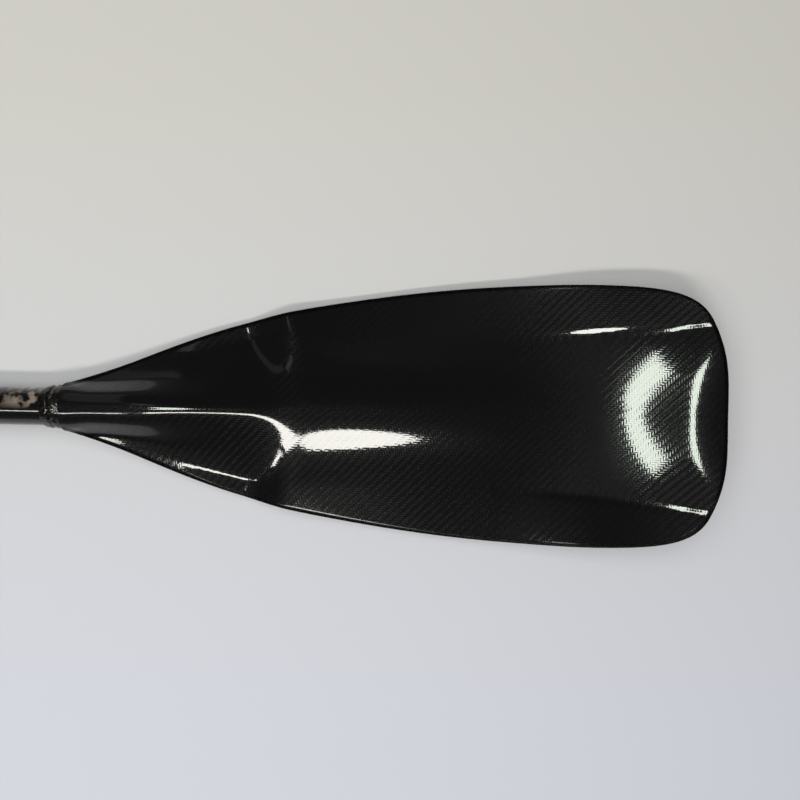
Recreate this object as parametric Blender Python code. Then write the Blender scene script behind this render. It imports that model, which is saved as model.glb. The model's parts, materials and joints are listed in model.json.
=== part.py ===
"""Adjustable sea-walking paddle: a scooped composite blade on a shaft of two telescoping tubes.

The paddle lies with its power face up, resting on the back rib of the blade and on the grip.
+X runs from the grip to the blade's tip, +Z is up, and the origin is on the surface below the
middle of the paddle's length. Every shape is drawn about the shaft's axis, at stations measured
from the mouth of the blade's neck: positive towards the tip, negative towards the grip.
"""
import math

import bmesh
import bpy
import numpy as np
from mathutils import Matrix

MM = 0.001
CLEARANCE = 0.3 * MM          # between neighbouring pieces

# Whole paddle
PADDLE_LENGTH = 1249 * MM     # at rest; the shaft adjusts it
SHAFT_HEIGHT = 18 * MM        # shaft axis above the surface it lies on
ROUND_SIDES = 32              # facets round every tube

# Blade
BLADE_LENGTH = 494 * MM
NECK_RADIUS = 16.7 * MM
SOCKET_DEPTH = 62 * MM        # how far the shaft reaches into the neck
MOUTH_BOW = 7 * MM            # the neck's mouth reaches further up the shaft along its crest
SKIN = 1.15 * MM
EDGE_THICKNESS = 3.2 * MM
PANEL_THICKNESS = 5.0 * MM
RIM_ROUNDING = 3.5 * MM
FLUTE_BLEND = 4 * MM          # how softly the spine runs out into the panel
STATIONS = 34                 # cross-sections along the blade's outline
HALF_COLUMNS = 12             # columns from the centre line to one edge

# Half outline of the blade: station and half width, each knot with its two handles
OUTLINE = (
    ((0, 16.7), (10.1, 18.4), (36.0, 26.6), (60, 37.0)),
    ((60, 37.0), (111.0, 59.0), (148.8, 71.8), (215, 83.1)),
    ((215, 83.1), (275.2, 93.4), (338.0, 98.8), (396, 97.6)),
    ((396, 97.6), (451.8, 96.4), (476.0, 93.4), (486.2, 63.3)),
    ((486.2, 63.3), (495.1, 36.7), (494.0, 20.5), (494, 0)),
)

# Lines along the blade, as spline controls at equal steps from neck to tip
PANEL_LEVEL = (-2, 3, 3, 4, -4.5, -7, -9, -10.5, -10.5, -10.5, -10.5)
SPINE_LEVEL = (16.7, 16.7, 14.6, 9.9, 6.4, 3.6, 0.5, -2.5, -5, -6.3, -7)
SPINE_FLANK = (62, 52, 34, 22, 19, 17, 15, 11, 8.5, 6.5, 5)
SPINE_ROUND = (16.7, 16.7, 8, 9, 25, 30, 35, 45, 60, 80, 100)
RIB_LEVEL = (16.7, 17.3, 18, 18, 18, 18, 18, 17, 15.5, 14, 13)
RIB_FLANK = (62, 55, 40, 32, 28, 25, 22, 18, 14, 10, 8)
RIB_ROUND = (16.7, 16.7, 14, 12, 12, 12, 14, 16, 20, 30, 40)

# By the neck the panels fall like a roof from the centre line; past it they're nearly level
ROOF_SLOPE = (-6, 19, 17.5, 17.5, 17, 16, 16, 16, 16, 16, 16)
ROOF_ROUND = (12, 12, 12, 5, 12, 12, 12, 12, 12, 12, 12)
PANEL_SLOPE = (4, 4, 4, 4, 4, 2, 1, 1, 0, 0, 0)
ROOF_END, ROOF_RUN, ROOF_LEAD = 144 * MM, 42 * MM, 0.25

# The panels bend towards the rim: up from the roof, and a little down past it
BEND_SHARE, BEND_LIMIT, BEND_SOFTNESS = 0.80, 55 * MM, 1.5 * MM
BEND_BEFORE = (0, 0, 12, 19, 19, 0, 0, 0, 0, 0, 0)
BEND_AFTER = (0, 0, 0, -3, -3, -2, 0, 0, 0, 0, 0)

# The spine becomes a broad swell, which fades out halfway down the blade
SWELL_HEIGHT = (0, 0, 0, 3, 5.7, 5.5, 4.6, 2.5, 0.5, 0.2, 0.2)
SWELL_WIDTH = (60, 60, 60, 60, 42, 42, 42, 44, 46, 46, 46)
SWELL_START, SWELL_RUN = 140 * MM, 30 * MM

# Raised edges: the crease they rise from, a small step there, and their tilt past it
CREASE_OFFSET, CREASE_SPREAD, CREASE_START = 56 * MM, 0.08, 325 * MM
CREASE_SOFTNESS, CREASE_WIDTH = 2.5 * MM, 9 * MM
CREASE_STEP = (0, 0, 0, 0, 0, 0, 0, 0.5, 1.25, 0.4, 0.1)
FLANGE_TILT = (0, 0, 0, 0, 0, 0, 2, 8, 11, 14, 15)

# The scoop lifts the last third of the blade, dished across, and eases off before the edge
SCOOP_START, SCOOP_LENGTH, SCOOP_SLOPE = 330 * MM, 150 * MM, 0.40
EASE_START, EASE_LENGTH, EASE_SLOPE = 460 * MM, 44 * MM, 0.43
EASE_BOW = 6.0                # how much later the easing begins away from the centre line, 1/m
DISH_START, DISH_RUN, DISH_DEPTH = 326 * MM, 80 * MM, 0.5
DISH_END, DISH_END_RUN, DISH_END_DEPTH = 391 * MM, 80 * MM, 0.9
DISH_REACH = 60 * MM

# Foam core, which fills the blade between its skins
CORE_START, CORE_END = 70 * MM, 479 * MM
CORE_COLUMNS = 8              # columns from the centre line that the core fills

# Tubes
LOWER_RADIUS, LOWER_BORE = 14.25 * MM, 13.05 * MM
UPPER_RADIUS, UPPER_WALL = 12.75 * MM, 1.2 * MM
GROOVE_WIDTH, GROOVE_DEPTH = 3.0 * MM, 1.35 * MM
LOWER_MOUTH = -428 * MM       # where the lower tube ends and the upper one comes out
UPPER_FOOT = -240 * MM        # lower end of the upper tube, at rest
UPPER_TOP = -690 * MM         # where the grip begins
SLIT_WIDTH, SLIT_LENGTH = 3.0 * MM, 26 * MM
PLUG_LENGTH = 20 * MM

# Clamp, drawn in the plane across the shaft
CLAMP_LENGTH = 29 * MM
CLAMP_RADIUS = 17.2 * MM
COLLAR_BORE = LOWER_RADIUS + CLEARANCE
LIP_BORE, LIP_LENGTH = 13.1 * MM, 2.7 * MM
EAR_GAP, EAR_THICKNESS, EAR_TOP = 3.0 * MM, 5.0 * MM, 26.6 * MM
EAR_LENGTH = 22 * MM
BOLT_HEIGHT, BOLT_RADIUS = 21.5 * MM, 2.5 * MM
HEAD_RADIUS, HEAD_LENGTH = 4.2 * MM, 4.2 * MM
WASHER_RADIUS, WASHER_THICKNESS = 5.0 * MM, 1.0 * MM
SADDLE_THICKNESS, SADDLE_HEIGHT, SADDLE_LENGTH = 2.5 * MM, 10 * MM, 20 * MM
PIN_Y, PIN_RADIUS = 15.2 * MM, 3.2 * MM
CAM_RADIUS, CAM_OFFSET = 6.0 * MM, 0.9 * MM
LEVER_WIDTH, LEVER_TIP_WIDTH, FORK_GAP = 20 * MM, 13 * MM, 7.2 * MM
LEVER_INNER, LEVER_OUTER = 18.3 * MM, 21.8 * MM
SEAL_LENGTH, SEAL_RADIUS = 3 * MM, 15.2 * MM

# Grip
GRIP_END = BLADE_LENGTH - PADDLE_LENGTH
GRIP_NECK = 14.2 * MM
GRIP_PLAN = (
    ((-755, 30), (-755, 48), (-751, 59), (-740, 59)),
    ((-740, 59), (-731, 59), (-725, 55), (-721, 42)),
    ((-721, 42), (-716, 25), (-708, 14.2), (-690, 14.2)),
)
GRIP_SIDE = (
    ((-755, 5.5), (-755, 12), (-750, 18), (-742, 18)),
    ((-742, 18), (-738, 18), (-734, 18), (-730, 18)),
    ((-730, 18), (-718, 18), (-706, 14.2), (-690, 14.2)),
)
GRIP_SQUARENESS = 2.7
STEM_RADIUS, STEM_HEAD_RADIUS, STEM_LENGTH = 9.0 * MM, 11.0 * MM, 45 * MM
SCREW_SPREAD, SCREW_RADIUS, SCREW_HEAD_RADIUS = 34 * MM, 1.6 * MM, 3.2 * MM

COLOURS = {
    # base colour, roughness, metallic
    "carbon_twill": ((0.012, 0.012, 0.013), 0.12, 0.0),
    "epoxy_resin": ((0.05, 0.045, 0.04), 0.05, 0.0),
    "foam": ((0.75, 0.68, 0.48), 0.9, 0.0),
    "black_nylon": ((0.02, 0.02, 0.022), 0.5, 0.0),
    "acetal": ((0.72, 0.72, 0.68), 0.4, 0.0),
    "stainless_steel": ((0.62, 0.61, 0.59), 0.3, 1.0),
    "anodised_aluminium": ((0.09, 0.09, 0.10), 0.35, 1.0),
    "rubber": ((0.025, 0.025, 0.025), 0.8, 0.0),
    "grip_plastic": ((0.03, 0.03, 0.032), 0.55, 0.0),
}


def clear_scene():
    for scene_object in list(bpy.data.objects):
        bpy.data.objects.remove(scene_object, do_unlink=True)


def make_materials():
    materials = {}
    for name, (colour, roughness, metallic) in COLOURS.items():
        material = bpy.data.materials.new(name)
        material.use_nodes = True
        shader = material.node_tree.nodes["Principled BSDF"]
        shader.inputs["Base Color"].default_value = (*colour, 1.0)
        shader.inputs["Roughness"].default_value = roughness
        shader.inputs["Metallic"].default_value = metallic
        material.diffuse_color = (*colour, 1.0)
        materials[name] = material
    return materials


# Mesh building


def new_mesh(name, vertices, faces):
    mesh = bpy.data.meshes.new(name)
    mesh.from_pydata([tuple(vertex) for vertex in vertices], [], faces)
    tidy = bmesh.new()
    tidy.from_mesh(mesh)
    bmesh.ops.recalc_face_normals(tidy, faces=tidy.faces)
    tidy.to_mesh(mesh)
    tidy.free()
    return mesh


def new_object(name, mesh, material, parent, location=(0, 0, 0)):
    made = bpy.data.objects.new(name, mesh)
    bpy.context.scene.collection.objects.link(made)
    made.parent = parent
    made.location = location
    mesh.materials.clear()
    mesh.materials.append(material)
    mesh.shade_smooth()
    mesh.set_sharp_from_angle(angle=math.radians(32))
    return made


def new_empty(name, parent, location):
    empty = bpy.data.objects.new(name, None)
    bpy.context.scene.collection.objects.link(empty)
    empty.parent = parent
    empty.location = location
    return empty


def circle(radius, sides=ROUND_SIDES):
    """Points of a round section across the shaft, as (y, z)."""
    turn = 2 * math.pi / sides
    return [(radius * math.cos(k * turn), radius * math.sin(k * turn)) for k in range(sides)]


def arc(radius, start, end, steps, centre=(0, 0)):
    """Points on an arc across the shaft; the angles are degrees from +Y towards +Z."""
    angles = [math.radians(start + (end - start) * k / steps) for k in range(steps + 1)]
    return [(centre[0] + radius * math.cos(a), centre[1] + radius * math.sin(a)) for a in angles]


def grooved_circle(radius, groove_half_width, groove_floor):
    """A round section with a square-bottomed groove along its underside."""
    edge = math.degrees(math.asin(groove_half_width / radius))
    rim = arc(radius, -90 + edge, 270 - edge, ROUND_SIDES)
    return rim + [(-groove_half_width, -groove_floor), (groove_half_width, -groove_floor)]


def loft(name, sections, holes=None):
    """A solid through closed sections at rising stations; holes are matching inner loops."""
    count = len(sections[0][1])
    vertices, faces = [], []

    def walls(loops):
        first = len(vertices)
        for station, points in loops:
            vertices.extend((station, y, z) for y, z in points)
        for row in range(len(loops) - 1):
            for k in range(count):
                low, nxt = first + row * count + k, first + row * count + (k + 1) % count
                faces.append((low, nxt, nxt + count, low + count))
        return first, first + (len(loops) - 1) * count

    start, end = walls(sections)
    if holes:
        inner_start, inner_end = walls(holes)
        for k in range(count):
            nxt = (k + 1) % count
            faces.append((start + k, start + nxt, inner_start + nxt, inner_start + k))
            faces.append((end + k, end + nxt, inner_end + nxt, inner_end + k))
    else:
        faces.append(tuple(range(start, start + count)))
        faces.append(tuple(range(end, end + count)))
    return new_mesh(name, vertices, faces)


def tube(name, start, end, outer, inner):
    return loft(name, [(start, outer), (end, outer)], [(start, inner), (end, inner)])


def rod(name, radius, start, end, axis="X", centre=(0, 0, 0), sides=24):
    """A round bar along one axis, from start to end on it, through a centre point."""
    mesh = loft(name, [(start, circle(radius, sides)), (end, circle(radius, sides))])
    if axis == "Y":
        mesh.transform(Matrix.Rotation(math.pi / 2, 4, "Z"))
    if axis == "Z":
        mesh.transform(Matrix.Rotation(-math.pi / 2, 4, "Y"))
    mesh.transform(Matrix.Translation(centre))
    return mesh


def block(name, low, high):
    sides = list(zip(low, high))
    corners = [(x, y, z) for x in sides[0] for y in sides[1] for z in sides[2]]
    faces = [(0, 1, 3, 2), (4, 6, 7, 5), (0, 4, 5, 1), (2, 3, 7, 6), (0, 2, 6, 4), (1, 5, 7, 3)]
    return new_mesh(name, corners, faces)


def combine(mesh, tool, operation="DIFFERENCE"):
    """The mesh after an exact Boolean with a second mesh."""
    collection = bpy.context.scene.collection
    target, cutter = bpy.data.objects.new("target", mesh), bpy.data.objects.new("cutter", tool)
    collection.objects.link(target)
    collection.objects.link(cutter)
    modifier = target.modifiers.new("cut", "BOOLEAN")
    modifier.operation = operation
    modifier.solver = "EXACT"
    modifier.object = cutter
    graph = bpy.context.evaluated_depsgraph_get()
    result = bpy.data.meshes.new_from_object(target.evaluated_get(graph))
    result.name = mesh.name
    bpy.data.objects.remove(target)
    bpy.data.objects.remove(cutter)
    return result


# Blade surfaces


def smooth_step(value):
    value = np.clip(value, 0.0, 1.0)
    return value * value * (3 - 2 * value)


def smooth_max(first, second, blend):
    near = np.maximum(blend - np.abs(first - second), 0) / blend
    return np.maximum(first, second) + near ** 3 * blend / 6


def along_blade(controls, station):
    """Value of a cubic spline whose controls stand at equal steps from neck to tip."""
    values = [2 * controls[0] - controls[1], *controls, 2 * controls[-1] - controls[-2]]
    values = np.array(values, dtype=float)
    steps = len(controls) - 1
    position = np.clip(np.asarray(station) / BLADE_LENGTH, 0, 1) * steps
    left = np.minimum(position.astype(int), steps - 1)
    u = position - left
    weights = ((1 - u) ** 3, 3 * u ** 3 - 6 * u ** 2 + 4,
               -3 * u ** 3 + 3 * u ** 2 + 3 * u + 1, u ** 3)
    return sum(weight * values[left + k] for k, weight in enumerate(weights)) / 6


def bezier_line(pieces, steps=48):
    """Points along joined Bezier pieces given in millimetres, returned in metres."""
    u = np.linspace(0, 1, steps + 1)[:, None]
    points = []
    for piece in pieces:
        a, b, c, d = (np.array(corner, dtype=float) for corner in piece)
        run = (1 - u) ** 3 * a + 3 * (1 - u) ** 2 * u * b + 3 * (1 - u) * u ** 2 * c + u ** 3 * d
        points.append(run if not points else run[1:])
    return np.vstack(points) * MM


def blade_stations():
    """Stations and half widths at equal steps along the blade's outline."""
    line = bezier_line(OUTLINE)
    lengths = np.concatenate(([0], np.cumsum(np.hypot(*np.diff(line, axis=0).T))))
    marks = np.linspace(0, lengths[-1] - 10 * MM, STATIONS)
    stations = np.interp(marks, lengths, line[:, 0])
    half_widths = np.interp(marks, lengths, line[:, 1])
    stations[-1] = BLADE_LENGTH
    return stations, half_widths


def rim_distance(station, y):
    """Distance of each point from the outline, in plan."""
    line = bezier_line(OUTLINE, 24)
    nearest = np.full(station.shape, np.inf)
    for start, end in zip(line[:-1], line[1:]):
        run = end - start
        along, across = station - start[0], np.abs(y) - start[1]
        t = np.clip((along * run[0] + across * run[1]) / (run @ run), 0, 1)
        nearest = np.minimum(nearest, np.hypot(along - t * run[0], across - t * run[1]))
    return nearest


def rounded_tent(y, level, flank, radius):
    """A ridge with straight flanks and a rounded crest."""
    slope = np.tan(np.radians(flank))
    flat = radius * slope
    return level - slope * (np.sqrt(y ** 2 + flat ** 2) - flat)


def neck_tube(y, station):
    """The round neck, its sides carried on straight down below the tangent point."""
    reach = NECK_RADIUS * (0.985 - 0.165 * smooth_step(station / (25 * MM)))
    shoulder = np.sqrt(NECK_RADIUS ** 2 - reach ** 2)
    inside = np.sqrt(np.maximum(NECK_RADIUS ** 2 - y ** 2, shoulder ** 2))
    return inside - reach / shoulder * np.maximum(np.abs(y) - reach, 0)


def spine(y, station, levels, flanks, radii):
    """Height of the spine above the shaft axis: the neck tube, running out as a ridge."""
    level = along_blade(levels, station) * MM
    radius = np.exp(along_blade(np.log(radii), station)) * MM
    ridge = rounded_tent(y, level, along_blade(flanks, station), radius)
    blend = smooth_step((station - 20 * MM) / (75 * MM))
    return (1 - blend) * neck_tube(y, station) + blend * ridge


def eased_run(distance, length):
    """Area under a smooth step from 0 to 1 that takes the given length."""
    u = np.clip(distance / length, 0, 1)
    return length * (u ** 3 - u ** 4 / 2) + np.maximum(distance - length, 0)


def scooped(station, y):
    """Rise of the whole blade towards its tip, dished across like a spoon."""
    rise = SCOOP_SLOPE * eased_run(station - SCOOP_START, SCOOP_LENGTH)
    rise = rise - EASE_SLOPE * eased_run(station - EASE_BOW * y ** 2 - EASE_START, EASE_LENGTH)
    dish = DISH_DEPTH * smooth_step((station - DISH_START) / DISH_RUN)
    dish = dish - DISH_END_DEPTH * smooth_step((station - DISH_END) / DISH_END_RUN)
    inner = np.minimum(np.abs(y), DISH_REACH)
    return rise + dish * (2 * np.abs(y) * inner - inner ** 2)


def flange(station, y):
    """Rise of the raised edges from the crease outwards, with a small step at the crease."""
    past = np.abs(y) - CREASE_OFFSET - CREASE_SPREAD * np.maximum(station - CREASE_START, 0)
    soft = np.logaddexp(0, past / CREASE_SOFTNESS) * CREASE_SOFTNESS
    step = along_blade(CREASE_STEP, station) * MM * smooth_step(past / CREASE_WIDTH + 0.5)
    return np.tan(np.radians(along_blade(FLANGE_TILT, station))) * soft + step


def roof(station, y, half_width):
    """Fall of the panels from the centre line outwards: steep by the neck, then nearly level."""
    sooner = ROOF_LEAD * (np.sqrt(y ** 2 + (12 * MM) ** 2) - 32 * MM)
    ended = smooth_step((station + sooner - ROOF_END) / ROOF_RUN)
    angle = (1 - ended) * along_blade(ROOF_SLOPE, station)
    angle = angle + ended * along_blade(PANEL_SLOPE, station)
    soft = np.exp(along_blade(np.log(ROOF_ROUND), station)) * MM
    fall = np.tan(np.radians(angle)) * (np.sqrt(y ** 2 + soft ** 2) - soft)
    past = np.abs(y) - np.minimum(BEND_SHARE * half_width, BEND_LIMIT)
    past = np.logaddexp(0, past / BEND_SOFTNESS) * BEND_SOFTNESS
    bend = (1 - ended) * along_blade(BEND_BEFORE, station)
    bend = bend + ended * along_blade(BEND_AFTER, station)
    return fall - np.tan(np.radians(bend)) * past


def blade_surfaces(station, y):
    """Front, middle and back heights of the blade above the shaft axis."""
    half_width = np.interp(station, *bezier_line(OUTLINE).T)
    scoop = scooped(station, y)
    level = along_blade(PANEL_LEVEL, station) * MM
    middle = level + scoop + flange(station, y)
    middle = middle - roof(station, y, half_width)
    rim = np.clip(rim_distance(station, y) / RIM_ROUNDING, 0, 1)
    rounding = 0.35 + 0.65 * np.sqrt(1 - (1 - rim) ** 2)
    across = np.clip(y / np.maximum(half_width, MM), -1, 1)
    crown = (PANEL_THICKNESS - EDGE_THICKNESS) * (1 - across ** 2)
    half = (EDGE_THICKNESS + crown) / 2 * rounding
    crest = scoop + spine(y, station, SPINE_LEVEL, SPINE_FLANK, SPINE_ROUND)
    width = along_blade(SWELL_WIDTH, station) * MM
    arch = (1 + np.cos(np.pi * np.minimum(np.abs(y) / width, 1))) / 2
    swell = middle + half + along_blade(SWELL_HEIGHT, station) * MM * arch
    share = smooth_step((station - SWELL_START) / SWELL_RUN)
    front = smooth_max(middle + half, (1 - share) * crest + share * swell, FLUTE_BLEND)
    rib = spine(y, station, RIB_LEVEL, RIB_FLANK, RIB_ROUND)
    back = -smooth_max(half - middle, rib - scoop, FLUTE_BLEND)
    return front, middle, back


def blade_grid():
    """Stations and offsets of the blade's grid, with columns close at the spine and the rim."""
    t = np.linspace(-1, 1, 2 * HALF_COLUMNS + 1)
    columns = t - 0.75 * np.sin(2 * math.pi * t) / (2 * math.pi)
    stations, half_widths = blade_stations()
    return np.repeat(stations[:, None], len(columns), axis=1), half_widths[:, None] * columns


def grid_positions(station, y, heights):
    """Grid points in space; the neck's mouth is bowed towards the grip along its crest."""
    edge = np.abs(y[:, -1:])
    bow = MOUTH_BOW * (1 - smooth_step(station / (30 * MM))) * (1 - (y / edge) ** 2)
    return np.stack([station - bow, y, heights], axis=-1)


def slab(name, top, bottom):
    """A closed solid between two grids of the same layout."""
    rows, columns = top.shape[:2]
    vertices = np.vstack([top.reshape(-1, 3), bottom.reshape(-1, 3)])
    under = rows * columns        # number of the lower grid's first point
    faces = []
    for i in range(rows - 1):
        for j in range(columns - 1):
            a, b = i * columns + j, (i + 1) * columns + j
            faces += [(a, b, b + 1), (a, b + 1, a + 1)]
            a, b = under + a, under + b
            faces += [(a, b + 1, b), (a, a + 1, b + 1)]
    rim = [j for j in range(columns)]
    rim += [i * columns + columns - 1 for i in range(1, rows)]
    rim += [(rows - 1) * columns + j for j in range(columns - 2, -1, -1)]
    rim += [i * columns for i in range(rows - 2, 0, -1)]
    for k, corner in enumerate(rim):
        following = rim[(k + 1) % len(rim)]
        faces.append((corner, following, under + following, under + corner))
    return new_mesh(name, vertices, faces)


def build_blade(materials, axis):
    station, y = blade_grid()
    front, middle, back = blade_surfaces(station, y)
    rows = (station[:, 0] > CORE_START) & (station[:, 0] < CORE_END)
    columns = np.abs(np.arange(2 * HALF_COLUMNS + 1) - HALF_COLUMNS) <= CORE_COLUMNS
    hollow = rows[:, None] & columns[None, :]
    seam = CLEARANCE / 2
    front_inner = np.where(hollow, np.maximum(front - SKIN, middle + seam), middle + seam)
    back_inner = np.where(hollow, np.minimum(back + SKIN, middle - seam), middle - seam)
    socket = rod("socket", COLLAR_BORE, -20 * MM, SOCKET_DEPTH + CLEARANCE, sides=ROUND_SIDES)

    layers = {"blade_front_skin": (front, front_inner), "blade_back_skin": (back_inner, back)}
    for name, (over, under) in layers.items():
        skin = slab(name, grid_positions(station, y, over), grid_positions(station, y, under))
        new_object(name, combine(skin, socket), materials["carbon_twill"], axis)

    inside = np.ix_(rows, columns)
    top = grid_positions(station, y, front_inner - CLEARANCE)[inside]
    bottom = grid_positions(station, y, back_inner + CLEARANCE)[inside]
    new_object("blade_foam_core", slab("blade_foam_core", top, bottom), materials["foam"], axis)


def build_resin_collar(materials, axis):
    """The uneven bead of clear resin that seals the shaft into the neck's mouth."""
    rings, inner = [], []
    steps = 5
    for k in range(steps + 1):
        u = k / steps
        ring, bore = [], []
        for side in range(ROUND_SIDES):
            angle = 2 * math.pi * side / ROUND_SIDES
            upper_end = (0.9 * math.sin(3 * angle + 0.7) + 0.6 * math.sin(5 * angle) - 17.5) * MM
            lump = 0.25 * math.sin(4 * angle + 3 * u) + 0.2 * math.sin(7 * angle - 5 * u)
            height = (0.35 + 1.45 * math.sin(math.pi * (0.06 + 0.72 * u)) + lump * u * (1 - u)) * MM
            for loop, radius in ((ring, COLLAR_BORE + height), (bore, COLLAR_BORE)):
                y, z = radius * math.cos(angle), radius * math.sin(angle)
                mouth = -MOUTH_BOW * (1 - (y / NECK_RADIUS) ** 2) - 1.5 * CLEARANCE
                loop.append((upper_end + (mouth - upper_end) * u, y, z))
        rings.append(ring)
        inner.append(bore)
    loops = rings + inner[::-1]
    vertices = [point for loop in loops for point in loop]
    faces = []
    for row in range(len(loops)):
        for k in range(ROUND_SIDES):
            here, after = row * ROUND_SIDES, (row + 1) % len(loops) * ROUND_SIDES
            nxt = (k + 1) % ROUND_SIDES
            faces.append((here + k, here + nxt, after + nxt, after + k))
    bead = new_mesh("neck_resin_collar", vertices, faces)
    new_object("neck_resin_collar", bead, materials["epoxy_resin"], axis)


def build_lower_shaft(materials, axis):
    lower = tube("lower_shaft", LOWER_MOUTH, SOCKET_DEPTH, circle(LOWER_RADIUS), circle(LOWER_BORE))
    for side in (1, -1):
        # The mouth is slit above, to be squeezed, and below, for the alignment key
        reach = (12 * MM * side, 16 * MM * side)
        low = (LOWER_MOUTH - MM, -SLIT_WIDTH / 2, min(reach))
        high = (LOWER_MOUTH + SLIT_LENGTH, SLIT_WIDTH / 2, max(reach))
        lower = combine(lower, block("slit", low, high))
    new_object("lower_shaft", lower, materials["carbon_twill"], axis)
    end = SOCKET_DEPTH - 2 * MM
    plug = rod("lower_shaft_plug", LOWER_BORE - CLEARANCE, end - PLUG_LENGTH, end, sides=ROUND_SIDES)
    new_object("lower_shaft_plug", plug, materials["foam"], axis)


def collar_profile():
    """The split ring with its two ears, as one closed line across the shaft."""
    half_gap, ear = EAR_GAP / 2, EAR_GAP / 2 + EAR_THICKNESS
    outer_edge = math.degrees(math.acos(ear / CLAMP_RADIUS))
    inner_edge = math.degrees(math.acos(half_gap / LIP_BORE))
    chamfer = 1.2 * MM
    points = [(half_gap, EAR_TOP), (ear - chamfer, EAR_TOP), (ear, EAR_TOP - chamfer)]
    points += arc(CLAMP_RADIUS, outer_edge, -180 - outer_edge, 30)
    points += [(-ear, EAR_TOP - chamfer), (-ear + chamfer, EAR_TOP), (-half_gap, EAR_TOP)]
    points += arc(LIP_BORE, 180 - inner_edge, 360 + inner_edge, 30)
    return points


def build_clamp(materials, axis):
    """Split collar, key, bolt, washer, cam saddle and the pin the lever turns on."""
    lip_start = -CLEARANCE - LIP_LENGTH
    collar = loft("clamp_collar", [(lip_start, collar_profile()), (CLAMP_LENGTH, collar_profile())])
    collar = combine(collar, rod("bore", COLLAR_BORE, -CLEARANCE, 2 * CLAMP_LENGTH, sides=ROUND_SIDES))
    middle = CLAMP_LENGTH / 2
    ear_start, ear_end = middle - EAR_LENGTH / 2, middle + EAR_LENGTH / 2
    for start, end in ((lip_start - MM, ear_start), (ear_end, CLAMP_LENGTH + MM)):
        # The ears are shorter than the ring
        low, high = (start, -10 * MM, CLAMP_RADIUS + 0.2 * MM), (end, 10 * MM, 30 * MM)
        collar = combine(collar, block("ear_end", low, high))
    bolt_line = (middle, 0, BOLT_HEIGHT)
    bolt_hole = rod("bolt_hole", BOLT_RADIUS + CLEARANCE, -12 * MM, 12 * MM, "Y", bolt_line)
    collar = combine(collar, bolt_hole)
    key_half, key_floor = GROOVE_WIDTH / 2 - CLEARANCE, UPPER_RADIUS - GROOVE_DEPTH + CLEARANCE
    pocket_floor = 15.8 * MM
    pocket_low = (5 * MM, -key_half - CLEARANCE, -pocket_floor)
    collar = combine(collar, block("pocket", pocket_low, (21 * MM, key_half + CLEARANCE, -12 * MM)))
    clamp = new_empty("clamp", axis, (LOWER_MOUTH, 0, 0))
    new_object("clamp_collar", collar, materials["black_nylon"], clamp)

    key_low = (5 * MM + CLEARANCE, -key_half, -pocket_floor + CLEARANCE)
    key = block("alignment_key", key_low, (21 * MM - CLEARANCE, key_half, -key_floor))
    new_object("alignment_key", key, materials["acetal"], clamp)

    ear = EAR_GAP / 2 + EAR_THICKNESS
    washer_face = -ear - CLEARANCE
    washer = tube("bolt_washer", washer_face - WASHER_THICKNESS, washer_face,
                  circle(WASHER_RADIUS, 24), circle(BOLT_RADIUS + CLEARANCE, 24))
    washer.transform(Matrix.Translation(bolt_line) @ Matrix.Rotation(math.pi / 2, 4, "Z"))
    new_object("bolt_washer", washer, materials["stainless_steel"], clamp)

    head_face = washer_face - WASHER_THICKNESS - CLEARANCE
    head, shank = circle(HEAD_RADIUS, 24), circle(BOLT_RADIUS, 24)
    shank_end = PIN_Y + 1.5 * MM
    bolt = loft("tension_bolt", [(head_face - HEAD_LENGTH, circle(HEAD_RADIUS - 0.5 * MM, 24)),
                                 (head_face - HEAD_LENGTH + 0.5 * MM, head), (head_face, head),
                                 (head_face, shank), (shank_end, shank)])
    socket = loft("hex", [(head_face - HEAD_LENGTH - MM, circle(2.3 * MM, 6)),
                          (head_face - 1.4 * MM, circle(2.3 * MM, 6))])
    bolt = combine(bolt, socket)
    bolt.transform(Matrix.Translation(bolt_line) @ Matrix.Rotation(math.pi / 2, 4, "Z"))
    new_object("tension_bolt", bolt, materials["stainless_steel"], clamp)

    saddle_face = ear + CLEARANCE
    low = (middle - SADDLE_LENGTH / 2, saddle_face, BOLT_HEIGHT - SADDLE_HEIGHT / 2)
    high = (middle + SADDLE_LENGTH / 2, saddle_face + SADDLE_THICKNESS, BOLT_HEIGHT + SADDLE_HEIGHT / 2)
    seat_radius = CAM_RADIUS + CAM_OFFSET + CLEARANCE
    seat = rod("seat", seat_radius, -20 * MM, 20 * MM, "X", (middle, PIN_Y, BOLT_HEIGHT), sides=48)
    saddle = combine(block("cam_saddle", low, high), seat)
    saddle = combine(saddle, rod("bolt_hole", BOLT_RADIUS + CLEARANCE, 0, 12 * MM, "Y", bolt_line))
    new_object("cam_saddle", saddle, materials["acetal"], clamp)

    seal_start = lip_start - CLEARANCE - SEAL_LENGTH
    lip = UPPER_RADIUS + CLEARANCE
    marks = (seal_start, seal_start + 1.2 * MM, seal_start + SEAL_LENGTH)
    radii = (lip + 0.6 * MM, SEAL_RADIUS, SEAL_RADIUS)
    seal = loft("mouth_seal", [(mark, circle(radius)) for mark, radius in zip(marks, radii)],
                [(mark, circle(lip)) for mark in marks])
    new_object("mouth_seal", seal, materials["rubber"], clamp)

    hinge = new_empty("lever_hinge", clamp, (middle, PIN_Y, BOLT_HEIGHT))
    half_pin = LEVER_WIDTH / 2 - 0.4 * MM
    pin = rod("lever_pin", PIN_RADIUS, -half_pin, half_pin)
    pin = combine(pin, rod("thread", BOLT_RADIUS + CLEARANCE, -6 * MM, 6 * MM, "Y"))
    new_object("lever_pin", pin, materials["stainless_steel"], hinge)
    return hinge


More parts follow.
